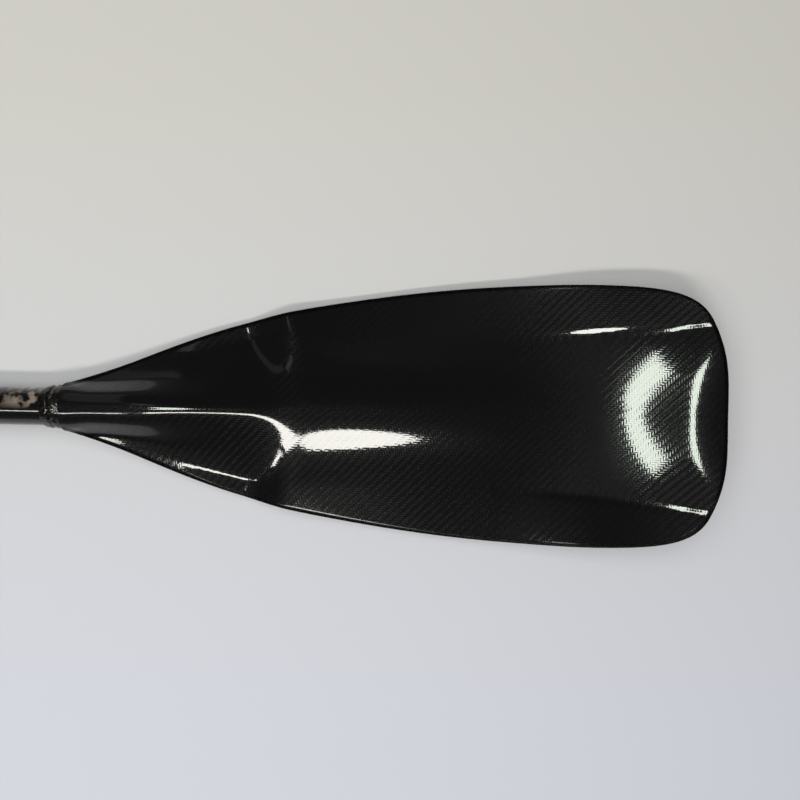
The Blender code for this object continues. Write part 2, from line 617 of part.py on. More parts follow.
def lever_profile():
    """Cam, arm and finger tip of the lever, closed, as one line about the pin."""
    cam_centre = (-CAM_OFFSET, 0)
    shaft_axis = (-PIN_Y, -BOLT_HEIGHT)
    cam = arc(CAM_RADIUS, 10, 238, 18, cam_centre)
    inner = arc(LEVER_INNER, 38, -22, 10, shaft_axis)
    outer = arc(LEVER_OUTER, -20, 42, 12, shaft_axis)
    tip = [(22.6, -34), (25.2, -37), (27.2, -35), (25.6, -30)]
    for radius, angle in tip:
        inner += arc(radius * MM, angle, angle, 1, shaft_axis)[:1]
    return cam + inner + outer


def build_lever(materials, hinge):
    """The forked cam lever, closed round the side of the collar and narrower at its tip."""
    half_width = LEVER_WIDTH / 2
    lever = loft("clamp_lever", [(-half_width, lever_profile()), (half_width, lever_profile())])
    narrowing = (LEVER_WIDTH - LEVER_TIP_WIDTH) / 2
    for vertex in lever.vertices:
        reach = min(max((-vertex.co.z - 8 * MM) / (24 * MM), 0), 1)
        vertex.co.x -= math.copysign(narrowing * reach, vertex.co.x)
    lever = combine(lever, rod("pin_hole", PIN_RADIUS + CLEARANCE, -20 * MM, 20 * MM, sides=32))
    lever = combine(lever, rod("fork", 8.4 * MM, -FORK_GAP / 2, FORK_GAP / 2, sides=32))
    new_object("clamp_lever", lever, materials["anodised_aluminium"], hinge)


def build_handle(materials, axis):
    """Upper tube, its end cap, and the grip: everything that slides to set the length."""
    handle = new_empty("handle_slide", axis, (LOWER_MOUTH, 0, 0))
    half_groove, groove_floor = GROOVE_WIDTH / 2, UPPER_RADIUS - GROOVE_DEPTH
    outer = grooved_circle(UPPER_RADIUS, half_groove, groove_floor)
    bore_radius, bore_floor = UPPER_RADIUS - UPPER_WALL, groove_floor - UPPER_WALL
    inner = grooved_circle(bore_radius, half_groove + UPPER_WALL, bore_floor)
    upper = tube("upper_shaft", UPPER_TOP - LOWER_MOUTH, UPPER_FOOT - LOWER_MOUTH, outer, inner)
    new_object("upper_shaft", upper, materials["carbon_twill"], handle)

    plug = grooved_circle(bore_radius - CLEARANCE, half_groove + UPPER_WALL + CLEARANCE,
                          bore_floor - CLEARANCE)
    rim = grooved_circle(UPPER_RADIUS - 0.1 * MM, half_groove + 0.1 * MM, groove_floor - 0.1 * MM)
    foot = UPPER_FOOT - LOWER_MOUTH + CLEARANCE
    sections = [(foot - 15 * MM, plug), (foot, plug), (foot, rim), (foot + 3 * MM, rim)]
    cap = loft("upper_shaft_end_cap", sections)
    new_object("upper_shaft_end_cap", cap, materials["black_nylon"], handle)

    top = UPPER_TOP - LOWER_MOUTH - CLEARANCE
    head, throat = circle(STEM_HEAD_RADIUS, len(plug)), circle(STEM_RADIUS, len(plug))
    step = top - 16 * MM
    sections = [(top - 22 * MM, head), (step, head), (step, throat), (top + MM, throat)]
    sleeve = loft("sleeve", [(top + CLEARANCE, plug), (top + STEM_LENGTH, plug)])
    stem = combine(loft("grip_stem", sections), sleeve, "UNION")
    new_object("grip_stem", stem, materials["black_nylon"], handle)
    build_grip(materials, handle, top)


def grip_sections():
    """Rounded sections of the T grip from its crown to its neck."""
    plan, side = bezier_line(GRIP_PLAN, 10), bezier_line(GRIP_SIDE, 10)
    stations = (-755, -754.2, -752, -748.5, -744, -738, -732, -727.5, -724, -721, -717.5,
                -713, -707, -699, -690)
    sides = ROUND_SIDES
    sections = []
    for station in stations:
        at = station * MM
        half_width = float(np.interp(at, plan[:, 0], plan[:, 1]))
        half_height = float(np.interp(at, side[:, 0], side[:, 1]))
        square = 2 + (GRIP_SQUARENESS - 2) * min(max((half_width - GRIP_NECK) / (30 * MM), 0), 1)
        ring = []
        for k in range(sides):
            angle = 2 * math.pi * (k + 0.5) / sides
            level = math.sin(math.pi / 2 - math.pi / sides) ** (2 / square)
            c, s = math.cos(angle), math.sin(angle)
            ring.append((math.copysign(abs(c) ** (2 / square), c) * half_width,
                         math.copysign(abs(s) ** (2 / square), s) * half_height / level))
        sections.append((min(at, UPPER_TOP - CLEARANCE) - LOWER_MOUTH, ring))
    return sections


def build_grip(materials, handle, top):
    """Two moulded halves closed round the stem's head, and the screws that hold them."""
    whole = loft("grip", grip_sections())
    head, throat = circle(STEM_HEAD_RADIUS + CLEARANCE), circle(STEM_RADIUS + CLEARANCE)
    step = top - 16 * MM + CLEARANCE
    sections = [(top - 22 * MM - CLEARANCE, head), (step, head), (step, throat), (top + MM, throat)]
    whole = combine(whole, loft("pocket", sections))
    bar = GRIP_END - LOWER_MOUTH + 17 * MM
    for side, name in ((-1, "grip_screw_right"), (1, "grip_screw_left")):
        centre = (bar, side * SCREW_SPREAD, 0)
        for radius, end in ((SCREW_RADIUS, 9 * MM), (SCREW_HEAD_RADIUS, -9 * MM)):
            hole = rod("screw_hole", radius + CLEARANCE, -20 * MM, end, "Z", centre, 16)
            whole = combine(whole, hole)
        head, shank = circle(SCREW_HEAD_RADIUS, 16), circle(SCREW_RADIUS, 16)
        seat = -9 * MM - CLEARANCE
        screw = loft(name, [(-11.5 * MM, head), (seat, head), (seat, shank), (8.5 * MM, shank)])
        screw.transform(Matrix.Rotation(-math.pi / 2, 4, "Y"))
        new_object(name, screw, materials["stainless_steel"], handle, centre)
    seam = CLEARANCE / 2
    big = 80 * MM
    low, high = GRIP_END - LOWER_MOUTH - big, top + big
    upper_cut = block("below", (low, -big, -big), (high, big, seam))
    lower_cut = block("above", (low, -big, -seam), (high, big, big))
    new_object("grip_front_shell", combine(whole.copy(), upper_cut), materials["grip_plastic"], handle)
    new_object("grip_back_shell", combine(whole, lower_cut), materials["grip_plastic"], handle)


def main():
    clear_scene()
    materials = make_materials()
    neck_mouth = PADDLE_LENGTH / 2 - BLADE_LENGTH
    axis = new_empty("paddle_axis", None, (neck_mouth, 0, SHAFT_HEIGHT))
    build_blade(materials, axis)
    build_resin_collar(materials, axis)
    build_lower_shaft(materials, axis)
    hinge = build_clamp(materials, axis)
    build_lever(materials, hinge)
    build_handle(materials, axis)


main()
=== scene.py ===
"""Looks of an adjustable sea-walking paddle that lies, power face up, on a pale table.

The blade's two skins, the bead of resin at its neck, both tubes and the grip's halves are drawn
here at full fineness, from the same named values as the construction, but for a neck whose mouth
stands a little further in and a crisper crease. Every other piece keeps its own solid and gets its
finish. Stations are measured along the shaft's axis from the start of the blade's outline, positive
towards the tip; heights are measured from that axis, and y runs across the blade.
"""
import json
import logging
import math
from collections.abc import Sequence
from dataclasses import dataclass, field
from enum import Enum

import bmesh
import bpy
import numpy as np
from mathutils import Matrix, Vector


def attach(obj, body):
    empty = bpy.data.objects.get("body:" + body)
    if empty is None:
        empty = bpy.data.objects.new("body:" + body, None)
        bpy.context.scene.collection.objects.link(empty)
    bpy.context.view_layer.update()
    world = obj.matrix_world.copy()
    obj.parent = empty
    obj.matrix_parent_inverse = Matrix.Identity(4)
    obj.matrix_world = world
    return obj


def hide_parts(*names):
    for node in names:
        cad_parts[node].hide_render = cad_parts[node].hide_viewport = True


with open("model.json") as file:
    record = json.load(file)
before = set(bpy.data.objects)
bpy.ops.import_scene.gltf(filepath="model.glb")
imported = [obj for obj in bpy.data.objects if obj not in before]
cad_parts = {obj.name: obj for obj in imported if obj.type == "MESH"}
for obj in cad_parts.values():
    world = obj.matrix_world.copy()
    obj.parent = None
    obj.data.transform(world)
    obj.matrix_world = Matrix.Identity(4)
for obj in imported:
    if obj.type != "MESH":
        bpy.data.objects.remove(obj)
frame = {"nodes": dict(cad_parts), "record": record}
LOG = logging.getLogger("paddle")

MM = 0.001
CLEARANCE = 0.3 * MM             # between neighbouring pieces
PADDLE_LENGTH = 1249 * MM
BLADE_LENGTH = 494 * MM
SHAFT_HEIGHT = 18 * MM           # shaft axis above the table
BLADE_START = PADDLE_LENGTH / 2 - BLADE_LENGTH     # world x of station 0
SHARP_ANGLE = math.radians(32)   # edges steeper than this stay crisp
TRIMMED = "trimmed_edge"         # how far a point of the blade lies on its sanded edge, 0 to 1
EPOXY_IOR = 1.52

Socket = bpy.types.NodeSocket
Point = tuple[float, float]


class Slot(Enum):
    """The record's material slots."""

    TWILL = "carbon_twill"
    RESIN = "epoxy_resin"
    FOAM = "foam"
    NYLON = "black_nylon"
    ACETAL = "acetal"
    STEEL = "stainless_steel"
    ALUMINIUM = "anodised_aluminium"
    RUBBER = "rubber"
    GRIP = "grip_plastic"


def srgb(code: str) -> tuple[float, float, float, float]:
    """Turn an sRGB hex colour into the linear colour that the shaders take.

    Args:
        code: six hex digits after a hash

    Returns:
        Linear red, green, blue and an alpha of 1.
    """
    parts = (int(code[k:k + 2], 16) / 255 for k in (1, 3, 5))
    linear = (p / 12.92 if p <= 0.04045 else ((p + 0.055) / 1.055) ** 2.4 for p in parts)
    return (*linear, 1.0)


def feed(tree: bpy.types.NodeTree, node: bpy.types.Node, inputs: dict[str | int, object]) -> None:
    """Give a node's inputs their values and links.

    Args:
        tree: node tree that holds the node
        node: the node
        inputs: a value, or the socket to link from, by the input's name or number
    """
    for key, value in inputs.items():
        if isinstance(value, Socket):
            tree.links.new(value, node.inputs[key])
        else:
            node.inputs[key].default_value = value


def add_node(tree: bpy.types.NodeTree, kind: str, inputs: dict[str | int, object] | None = None,
             **settings: object) -> bpy.types.Node:
    """Add a node with its settings, its values and the links into it.

    Args:
        tree: node tree that takes the node
        kind: Blender's name of the node type, without ShaderNode
        inputs: a value, or the socket to link from, by the input's name or number
        settings: the node's own properties

    Returns:
        The new node.
    """
    node = tree.nodes.new("ShaderNode" + kind)
    for name, value in settings.items():
        setattr(node, name, value)
    feed(tree, node, inputs or {})
    return node


def new_material(name: str) -> tuple[bpy.types.Material, bpy.types.NodeTree, bpy.types.Node]:
    """Start a material.

    Args:
        name: name of the material

    Returns:
        The material, its node tree and its main shader.
    """
    material = bpy.data.materials.new(name)
    material.use_nodes = True
    return material, material.node_tree, material.node_tree.nodes["Principled BSDF"]


# Mesh building


def new_mesh(name: str, vertices: Sequence, faces: Sequence) -> bpy.types.Mesh:
    """Make a mesh whose faces all look outwards.

    Args:
        name: name of the mesh
        vertices: points in metres
        faces: corners of each face, by number

    Returns:
        The mesh.
    """
    mesh = bpy.data.meshes.new(name)
    mesh.from_pydata([tuple(vertex) for vertex in vertices], [], faces)
    tidy = bmesh.new()
    tidy.from_mesh(mesh)
    bmesh.ops.recalc_face_normals(tidy, faces=tidy.faces)
    tidy.to_mesh(mesh)
    tidy.free()
    return mesh


def place(name: str, mesh: bpy.types.Mesh, origin: float = BLADE_START) -> bpy.types.Object:
    """Put a mesh that is drawn about the shaft's axis into the scene.

    Args:
        name: name of the piece
        mesh: mesh about the shaft's axis
        origin: world x of the mesh's station 0

    Returns:
        The piece, shaded smooth with its steep edges crisp.
    """
    mesh.transform(Matrix.Translation((origin, 0, SHAFT_HEIGHT)))
    mesh.shade_smooth()
    mesh.set_sharp_from_angle(angle=SHARP_ANGLE)
    piece = bpy.data.objects.new(name, mesh)
    bpy.context.scene.collection.objects.link(piece)
    return piece


def slab(name: str, top: np.ndarray, bottom: np.ndarray) -> bpy.types.Mesh:
    """Close the space between two grids of the same layout.

    Args:
        name: name of the mesh
        top: upper grid, as rows, columns and three coordinates
        bottom: lower grid of the same shape

    Returns:
        The closed mesh.
    """
    rows, columns = top.shape[:2]
    under = rows * columns
    faces = []
    for i in range(rows - 1):
        for j in range(columns - 1):
            a = i * columns + j
            quad = (a, a + 1, a + columns + 1, a + columns)
            faces += [quad, tuple(under + k for k in reversed(quad))]
    rim = list(range(columns)) + [i * columns + columns - 1 for i in range(1, rows)]
    rim += [(rows - 1) * columns + j for j in range(columns - 2, -1, -1)]
    rim += [i * columns for i in range(rows - 2, 0, -1)]
    for k, corner in enumerate(rim):
        following = rim[(k + 1) % len(rim)]
        faces.append((corner, following, under + following, under + corner))
    return new_mesh(name, np.vstack([top.reshape(-1, 3), bottom.reshape(-1, 3)]), faces)


def bands(rings: int, count: int, closed: bool = False, first: int = 0) -> list[tuple[int, ...]]:
    """Join neighbouring rings of points with faces.

    Args:
        rings: number of rings
        count: points in each ring
        closed: whether the last ring joins the first one
        first: number of the first point

    Returns:
        Corners of each face, by number.
    """
    faces = []
    for ring in range(rings if closed else rings - 1):
        here, after = first + ring * count, first + (ring + 1) % rings * count
        faces += [(here + k, here + (k + 1) % count, after + (k + 1) % count, after + k)
                  for k in range(count)]
    return faces


def smooth_step(value: np.ndarray) -> np.ndarray:
    """Ease from 0 to 1, level at both ends."""
    value = np.clip(value, 0.0, 1.0)
    return value * value * (3 - 2 * value)


def smooth_max(first: np.ndarray, second: np.ndarray, blend: float) -> np.ndarray:
    """The higher of two surfaces, with a fillet where they cross."""
    near = np.maximum(blend - np.abs(first - second), 0) / blend
    return np.maximum(first, second) + near ** 3 * blend / 6


def eased_run(distance: np.ndarray, length: float) -> np.ndarray:
    """Area under a smooth step from 0 to 1 that takes the given length."""
    u = np.clip(distance / length, 0, 1)
    return length * (u ** 3 - u ** 4 / 2) + np.maximum(distance - length, 0)


def bezier_line(pieces: Sequence, steps: int = 48) -> np.ndarray:
    """Points along joined Bezier pieces.

    Args:
        pieces: four corners in millimetres for each piece
        steps: points along each piece

    Returns:
        The points in metres.
    """
    u = np.linspace(0, 1, steps + 1)[:, None]
    points = []
    for piece in pieces:
        a, b, c, d = (np.array(corner, dtype=float) for corner in piece)
        run = (1 - u) ** 3 * a + 3 * (1 - u) ** 2 * u * b + 3 * (1 - u) * u ** 2 * c + u ** 3 * d
        points.append(run if not points else run[1:])
    return np.vstack(points) * MM


# Blade


@dataclass(frozen=True)
class BladeForm:
    """The blade's shape, as heights over its plan.

    Lists of eleven run in equal steps from neck to tip; their levels, heights, widths and
    roundings are in millimetres, their flanks, slopes, bends and tilts in degrees.
    """

    length: float = BLADE_LENGTH
    outline: tuple = (               # half width, as the corners of joined Bezier pieces
        ((0, 16.7), (10.1, 18.4), (36.0, 26.6), (60, 37.0)),
        ((60, 37.0), (111.0, 59.0), (148.8, 71.8), (215, 83.1)),
        ((215, 83.1), (275.2, 93.4), (338.0, 98.8), (396, 97.6)),
        ((396, 97.6), (451.8, 96.4), (476.0, 93.4), (486.2, 63.3)),
        ((486.2, 63.3), (495.1, 36.7), (494.0, 20.5), (494, 0)),
    )
    neck_radius: float = 16.7 * MM
    neck_round: tuple = (0.985, 0.165, 25 * MM)      # share of it that is round, its loss, over what
    neck_run: tuple = (20 * MM, 75 * MM)             # where it turns into the spine, over what length
    socket_radius: float = 14.55 * MM
    socket_depth: float = 62 * MM
    mouth_inset: float = 6 * MM                      # how far inside the outline's start it stands
    inset_run: float = 30 * MM
    skin: float = 1.15 * MM
    edge_thickness: float = 3.2 * MM
    panel_thickness: float = 5.0 * MM
    rim_rounding: float = 3.5 * MM
    rim_share: float = 0.35                          # share of the thickness left at the very rim
    flute_blend: float = 4 * MM
    panel_level: tuple = (-2, 3, 3, 4, -4.5, -7, -9, -10.5, -10.5, -10.5, -10.5)
    spine_level: tuple = (16.7, 16.7, 14.6, 9.9, 6.4, 3.6, 0.5, -2.5, -5, -6.3, -7)
    spine_flank: tuple = (62, 52, 34, 22, 19, 17, 15, 11, 8.5, 6.5, 5)
    spine_round: tuple = (16.7, 16.7, 8, 9, 25, 30, 35, 45, 60, 80, 100)
    rib_level: tuple = (16.7, 17.3, 18, 18, 18, 18, 18, 17, 15.5, 14, 13)
    rib_flank: tuple = (62, 55, 40, 32, 28, 25, 22, 18, 14, 10, 8)
    rib_round: tuple = (16.7, 16.7, 14, 12, 12, 12, 14, 16, 20, 30, 40)
    roof_slope: tuple = (-6, 19, 17.5, 17.5, 17, 16, 16, 16, 16, 16, 16)
    roof_round: tuple = (12, 12, 12, 5, 12, 12, 12, 12, 12, 12, 12)
    panel_slope: tuple = (4, 4, 4, 4, 4, 2, 1, 1, 0, 0, 0)
    roof_end: tuple = (144 * MM, 42 * MM)            # where the steep roof ends, over what length
    roof_lead: tuple = (0.25, 12 * MM, 32 * MM)      # sooner off the centre: share, rounding, even at
    bend_line: tuple = (0.80, 55 * MM)               # share of the half width, and at most
    bend_softness: float = 1.5 * MM
    bend_before: tuple = (0, 0, 12, 19, 19, 0, 0, 0, 0, 0, 0)
    bend_after: tuple = (0, 0, 0, -3, -3, -2, 0, 0, 0, 0, 0)
    swell_height: tuple = (0, 0, 0, 3, 5.7, 5.5, 4.6, 2.5, 0.5, 0.2, 0.2)
    swell_width: tuple = (60, 60, 60, 60, 42, 42, 42, 44, 46, 46, 46)
    swell_start: tuple = (140 * MM, 30 * MM)
    crease_line: tuple = (56 * MM, 0.08, 325 * MM)   # offset, its slope, and from which station
    # The fine mesh carries a crisper crease than the construction's facets do
    crease_softness: float = 0.8 * MM
    crease_step: tuple = (0, 0, 0, 0, 0, 0, 0, 0.05, 1.25, 0.4, 0)
    crease_width: float = 9 * MM
    flange_tilt: tuple = (0, 0, 0, 0, 0, 0, 2, 8, 11, 14, 15)
    # From which station, over what length, and the slope or the curvature there
    scoop: tuple = (330 * MM, 150 * MM, 0.40)
    ease: tuple = (460 * MM, 44 * MM, 0.43)
    ease_bow: float = 6.0                            # later off the centre line, by the square
    dish: tuple = (326 * MM, 80 * MM, 0.5)
    dish_end: tuple = (391 * MM, 80 * MM, 0.9)
    dish_reach: float = 60 * MM
    core: tuple = (70 * MM, 479 * MM)                # ends of the foam
    tip_gap: float = 1.5 * MM                        # left blunt at the end of the outline
    crowding: float = 0.6                            # how much the grid's columns crowd

    def along(self, controls: Sequence[float], station: np.ndarray) -> np.ndarray:
        """Read a cubic spline whose controls stand at equal steps along the blade.

        Args:
            controls: spline controls
            station: stations to read it at

        Returns:
            The spline's values.
        """
        values = [2 * controls[0] - controls[1], *controls, 2 * controls[-1] - controls[-2]]
        values = np.array(values, dtype=float)
        steps = len(controls) - 1
        position = np.clip(station / self.length, 0, 1) * steps
        left = np.minimum(position.astype(int), steps - 1)
        u = position - left
        weights = ((1 - u) ** 3, 3 * u ** 3 - 6 * u ** 2 + 4,
                   -3 * u ** 3 + 3 * u ** 2 + 3 * u + 1, u ** 3)
        return sum(weight * values[left + k] for k, weight in enumerate(weights)) / 6

    def rim_distance(self, station: np.ndarray, y: np.ndarray) -> np.ndarray:
        """Measure how far each point lies from the outline, in plan.

        Args:
            station: stations
            y: offsets from the centre line

        Returns:
            Distances.
        """
        line = bezier_line(self.outline, 24)
        nearest = np.full(station.shape, np.inf)
        for start, end in zip(line[:-1], line[1:]):
            run = end - start
            along, across = station - start[0], np.abs(y) - start[1]
            t = np.clip((along * run[0] + across * run[1]) / (run @ run), 0, 1)
            nearest = np.minimum(nearest, np.hypot(along - t * run[0], across - t * run[1]))
        return nearest

    def neck_tube(self, y: np.ndarray, station: np.ndarray) -> np.ndarray:
        """The round neck, its sides carried on straight down below the tangent point.

        Args:
            y: offsets from the centre line
            station: stations

        Returns:
            Heights from the shaft's axis.
        """
        share, loss, run = self.neck_round
        reach = self.neck_radius * (share - loss * smooth_step(station / run))
        shoulder = np.sqrt(self.neck_radius ** 2 - reach ** 2)
        inside = np.sqrt(np.maximum(self.neck_radius ** 2 - y ** 2, shoulder ** 2))
        return inside - reach / shoulder * np.maximum(np.abs(y) - reach, 0)

    def spine(self, y: np.ndarray, station: np.ndarray, levels: Sequence[float],
              flanks: Sequence[float], radii: Sequence[float]) -> np.ndarray:
        """Height of the neck tube as it runs out along the blade in a ridge.

        Args:
            y: offsets from the centre line
            station: stations
            levels: crest heights in millimetres
            flanks: slopes of the ridge's sides in degrees
            radii: rounding of its crest in millimetres

        Returns:
            Heights from the shaft's axis.
        """
        slope = np.tan(np.radians(self.along(flanks, station)))
        flat = np.exp(self.along(np.log(radii), station)) * MM * slope
        ridge = self.along(levels, station) * MM - slope * (np.sqrt(y ** 2 + flat ** 2) - flat)
        blend = smooth_step((station - self.neck_run[0]) / self.neck_run[1])
        return (1 - blend) * self.neck_tube(y, station) + blend * ridge

    def scooped(self, station: np.ndarray, y: np.ndarray) -> np.ndarray:
        """Rise of the whole blade towards its tip, dished across like a spoon.

        Args:
            station: stations
            y: offsets from the centre line

        Returns:
            Rise over the neck's level.
        """
        rise = self.scoop[2] * eased_run(station - self.scoop[0], self.scoop[1])
        later = station - self.ease_bow * y ** 2 - self.ease[0]
        rise = rise - self.ease[2] * eased_run(later, self.ease[1])
        dish = self.dish[2] * smooth_step((station - self.dish[0]) / self.dish[1])
        dish = dish - self.dish_end[2] * smooth_step((station - self.dish_end[0]) / self.dish_end[1])
        inner = np.minimum(np.abs(y), self.dish_reach)
        return rise + dish * (2 * np.abs(y) * inner - inner ** 2)

    def flange(self, station: np.ndarray, y: np.ndarray) -> np.ndarray:
        """Rise of the raised edges from the crease outwards, with a small step at the crease.

        Args:
            station: stations
            y: offsets from the centre line

        Returns:
            Rise over the panel.
        """
        first, spread, start = self.crease_line
        past = np.abs(y) - first - spread * np.maximum(station - start, 0)
        soft = np.logaddexp(0, past / self.crease_softness) * self.crease_softness
        step = self.along(self.crease_step, station) * MM * smooth_step(past / self.crease_width + 0.5)
        return np.tan(np.radians(self.along(self.flange_tilt, station))) * soft + step

    def roof(self, station: np.ndarray, y: np.ndarray, half_width: np.ndarray) -> np.ndarray:
        """Fall of the panels from the centre line outwards: steep by the neck, then nearly level.

        Args:
            station: stations
            y: offsets from the centre line
            half_width: the blade's half width at each point

        Returns:
            Fall from the panels' level.
        """
        start, run = self.roof_end
        lead, rounding, even = self.roof_lead
        sooner = lead * (np.sqrt(y ** 2 + rounding ** 2) - even)
        ended = smooth_step((station + sooner - start) / run)
        angle = (1 - ended) * self.along(self.roof_slope, station)
        angle = angle + ended * self.along(self.panel_slope, station)
        soft = np.exp(self.along(np.log(self.roof_round), station)) * MM
        fall = np.tan(np.radians(angle)) * (np.sqrt(y ** 2 + soft ** 2) - soft)
        past = np.abs(y) - np.minimum(self.bend_line[0] * half_width, self.bend_line[1])
        past = np.logaddexp(0, past / self.bend_softness) * self.bend_softness
        bend = (1 - ended) * self.along(self.bend_before, station)
        bend = bend + ended * self.along(self.bend_after, station)
        return fall - np.tan(np.radians(bend)) * past

    def surfaces(self, station: np.ndarray, y: np.ndarray) -> tuple[np.ndarray, ...]:
        """Work out the blade's heights above the shaft's axis.

        Args:
            station: stations
            y: offsets from the centre line

        Returns:
            Front face, middle surface and back face.
        """
        half_width = np.interp(station, *bezier_line(self.outline).T)
        scoop = self.scooped(station, y)
        level = self.along(self.panel_level, station) * MM
        middle = level + scoop + self.flange(station, y) - self.roof(station, y, half_width)
        rim = np.clip(self.rim_distance(station, y) / self.rim_rounding, 0, 1)
        rounding = self.rim_share + (1 - self.rim_share) * np.sqrt(1 - (1 - rim) ** 2)
        across = np.clip(y / np.maximum(half_width, MM), -1, 1)
        crown = (self.panel_thickness - self.edge_thickness) * (1 - across ** 2)
        half = (self.edge_thickness + crown) / 2 * rounding
        crest = scoop + self.spine(y, station, self.spine_level, self.spine_flank, self.spine_round)
        width = self.along(self.swell_width, station) * MM
        arch = (1 + np.cos(np.pi * np.minimum(np.abs(y) / width, 1))) / 2
        swell = middle + half + self.along(self.swell_height, station) * MM * arch
        share = smooth_step((station - self.swell_start[0]) / self.swell_start[1])
        front = smooth_max(middle + half, (1 - share) * crest + share * swell, self.flute_blend)
        rib = self.spine(y, station, self.rib_level, self.rib_flank, self.rib_round)
        back = -smooth_max(half - middle, rib - scoop, self.flute_blend)
        return front, middle, back

    def grid(self, rows: int, half_columns: int) -> tuple[np.ndarray, np.ndarray]:
        """Lay a grid over the blade's plan, closer at the spine, the rim and the tip.

        Args:
            rows: cross-sections, at equal steps along the outline
            half_columns: columns from the centre line to one edge

        Returns:
            Stations and offsets of the grid's points.
        """
        line = bezier_line(self.outline)
        lengths = np.concatenate(([0], np.cumsum(np.hypot(*np.diff(line, axis=0).T))))
        marks = np.linspace(0, lengths[-1] - self.tip_gap, rows)
        stations = np.interp(marks, lengths, line[:, 0])
        half_widths = np.interp(marks, lengths, line[:, 1])
        t = np.linspace(-1, 1, 2 * half_columns + 1)
        columns = t - self.crowding * np.sin(2 * math.pi * t) / (2 * math.pi)
        return np.repeat(stations[:, None], len(columns), axis=1), half_widths[:, None] * columns

    def positions(self, station: np.ndarray, y: np.ndarray, heights: np.ndarray) -> np.ndarray:
        """Put grid points in space, with the neck's mouth a little inside the outline's start.

        Args:
            station: stations
            y: offsets from the centre line
            heights: heights of one face

        Returns:
            The points, in a last axis of three.
        """
        moved = station + self.mouth_inset * (1 - smooth_step(station / self.inset_run))
        line = bezier_line(self.outline)
        width, kept = (np.maximum(np.interp(x, *line.T), MM) for x in (station, moved))
        return np.stack([moved, y * kept / width, heights], axis=-1)


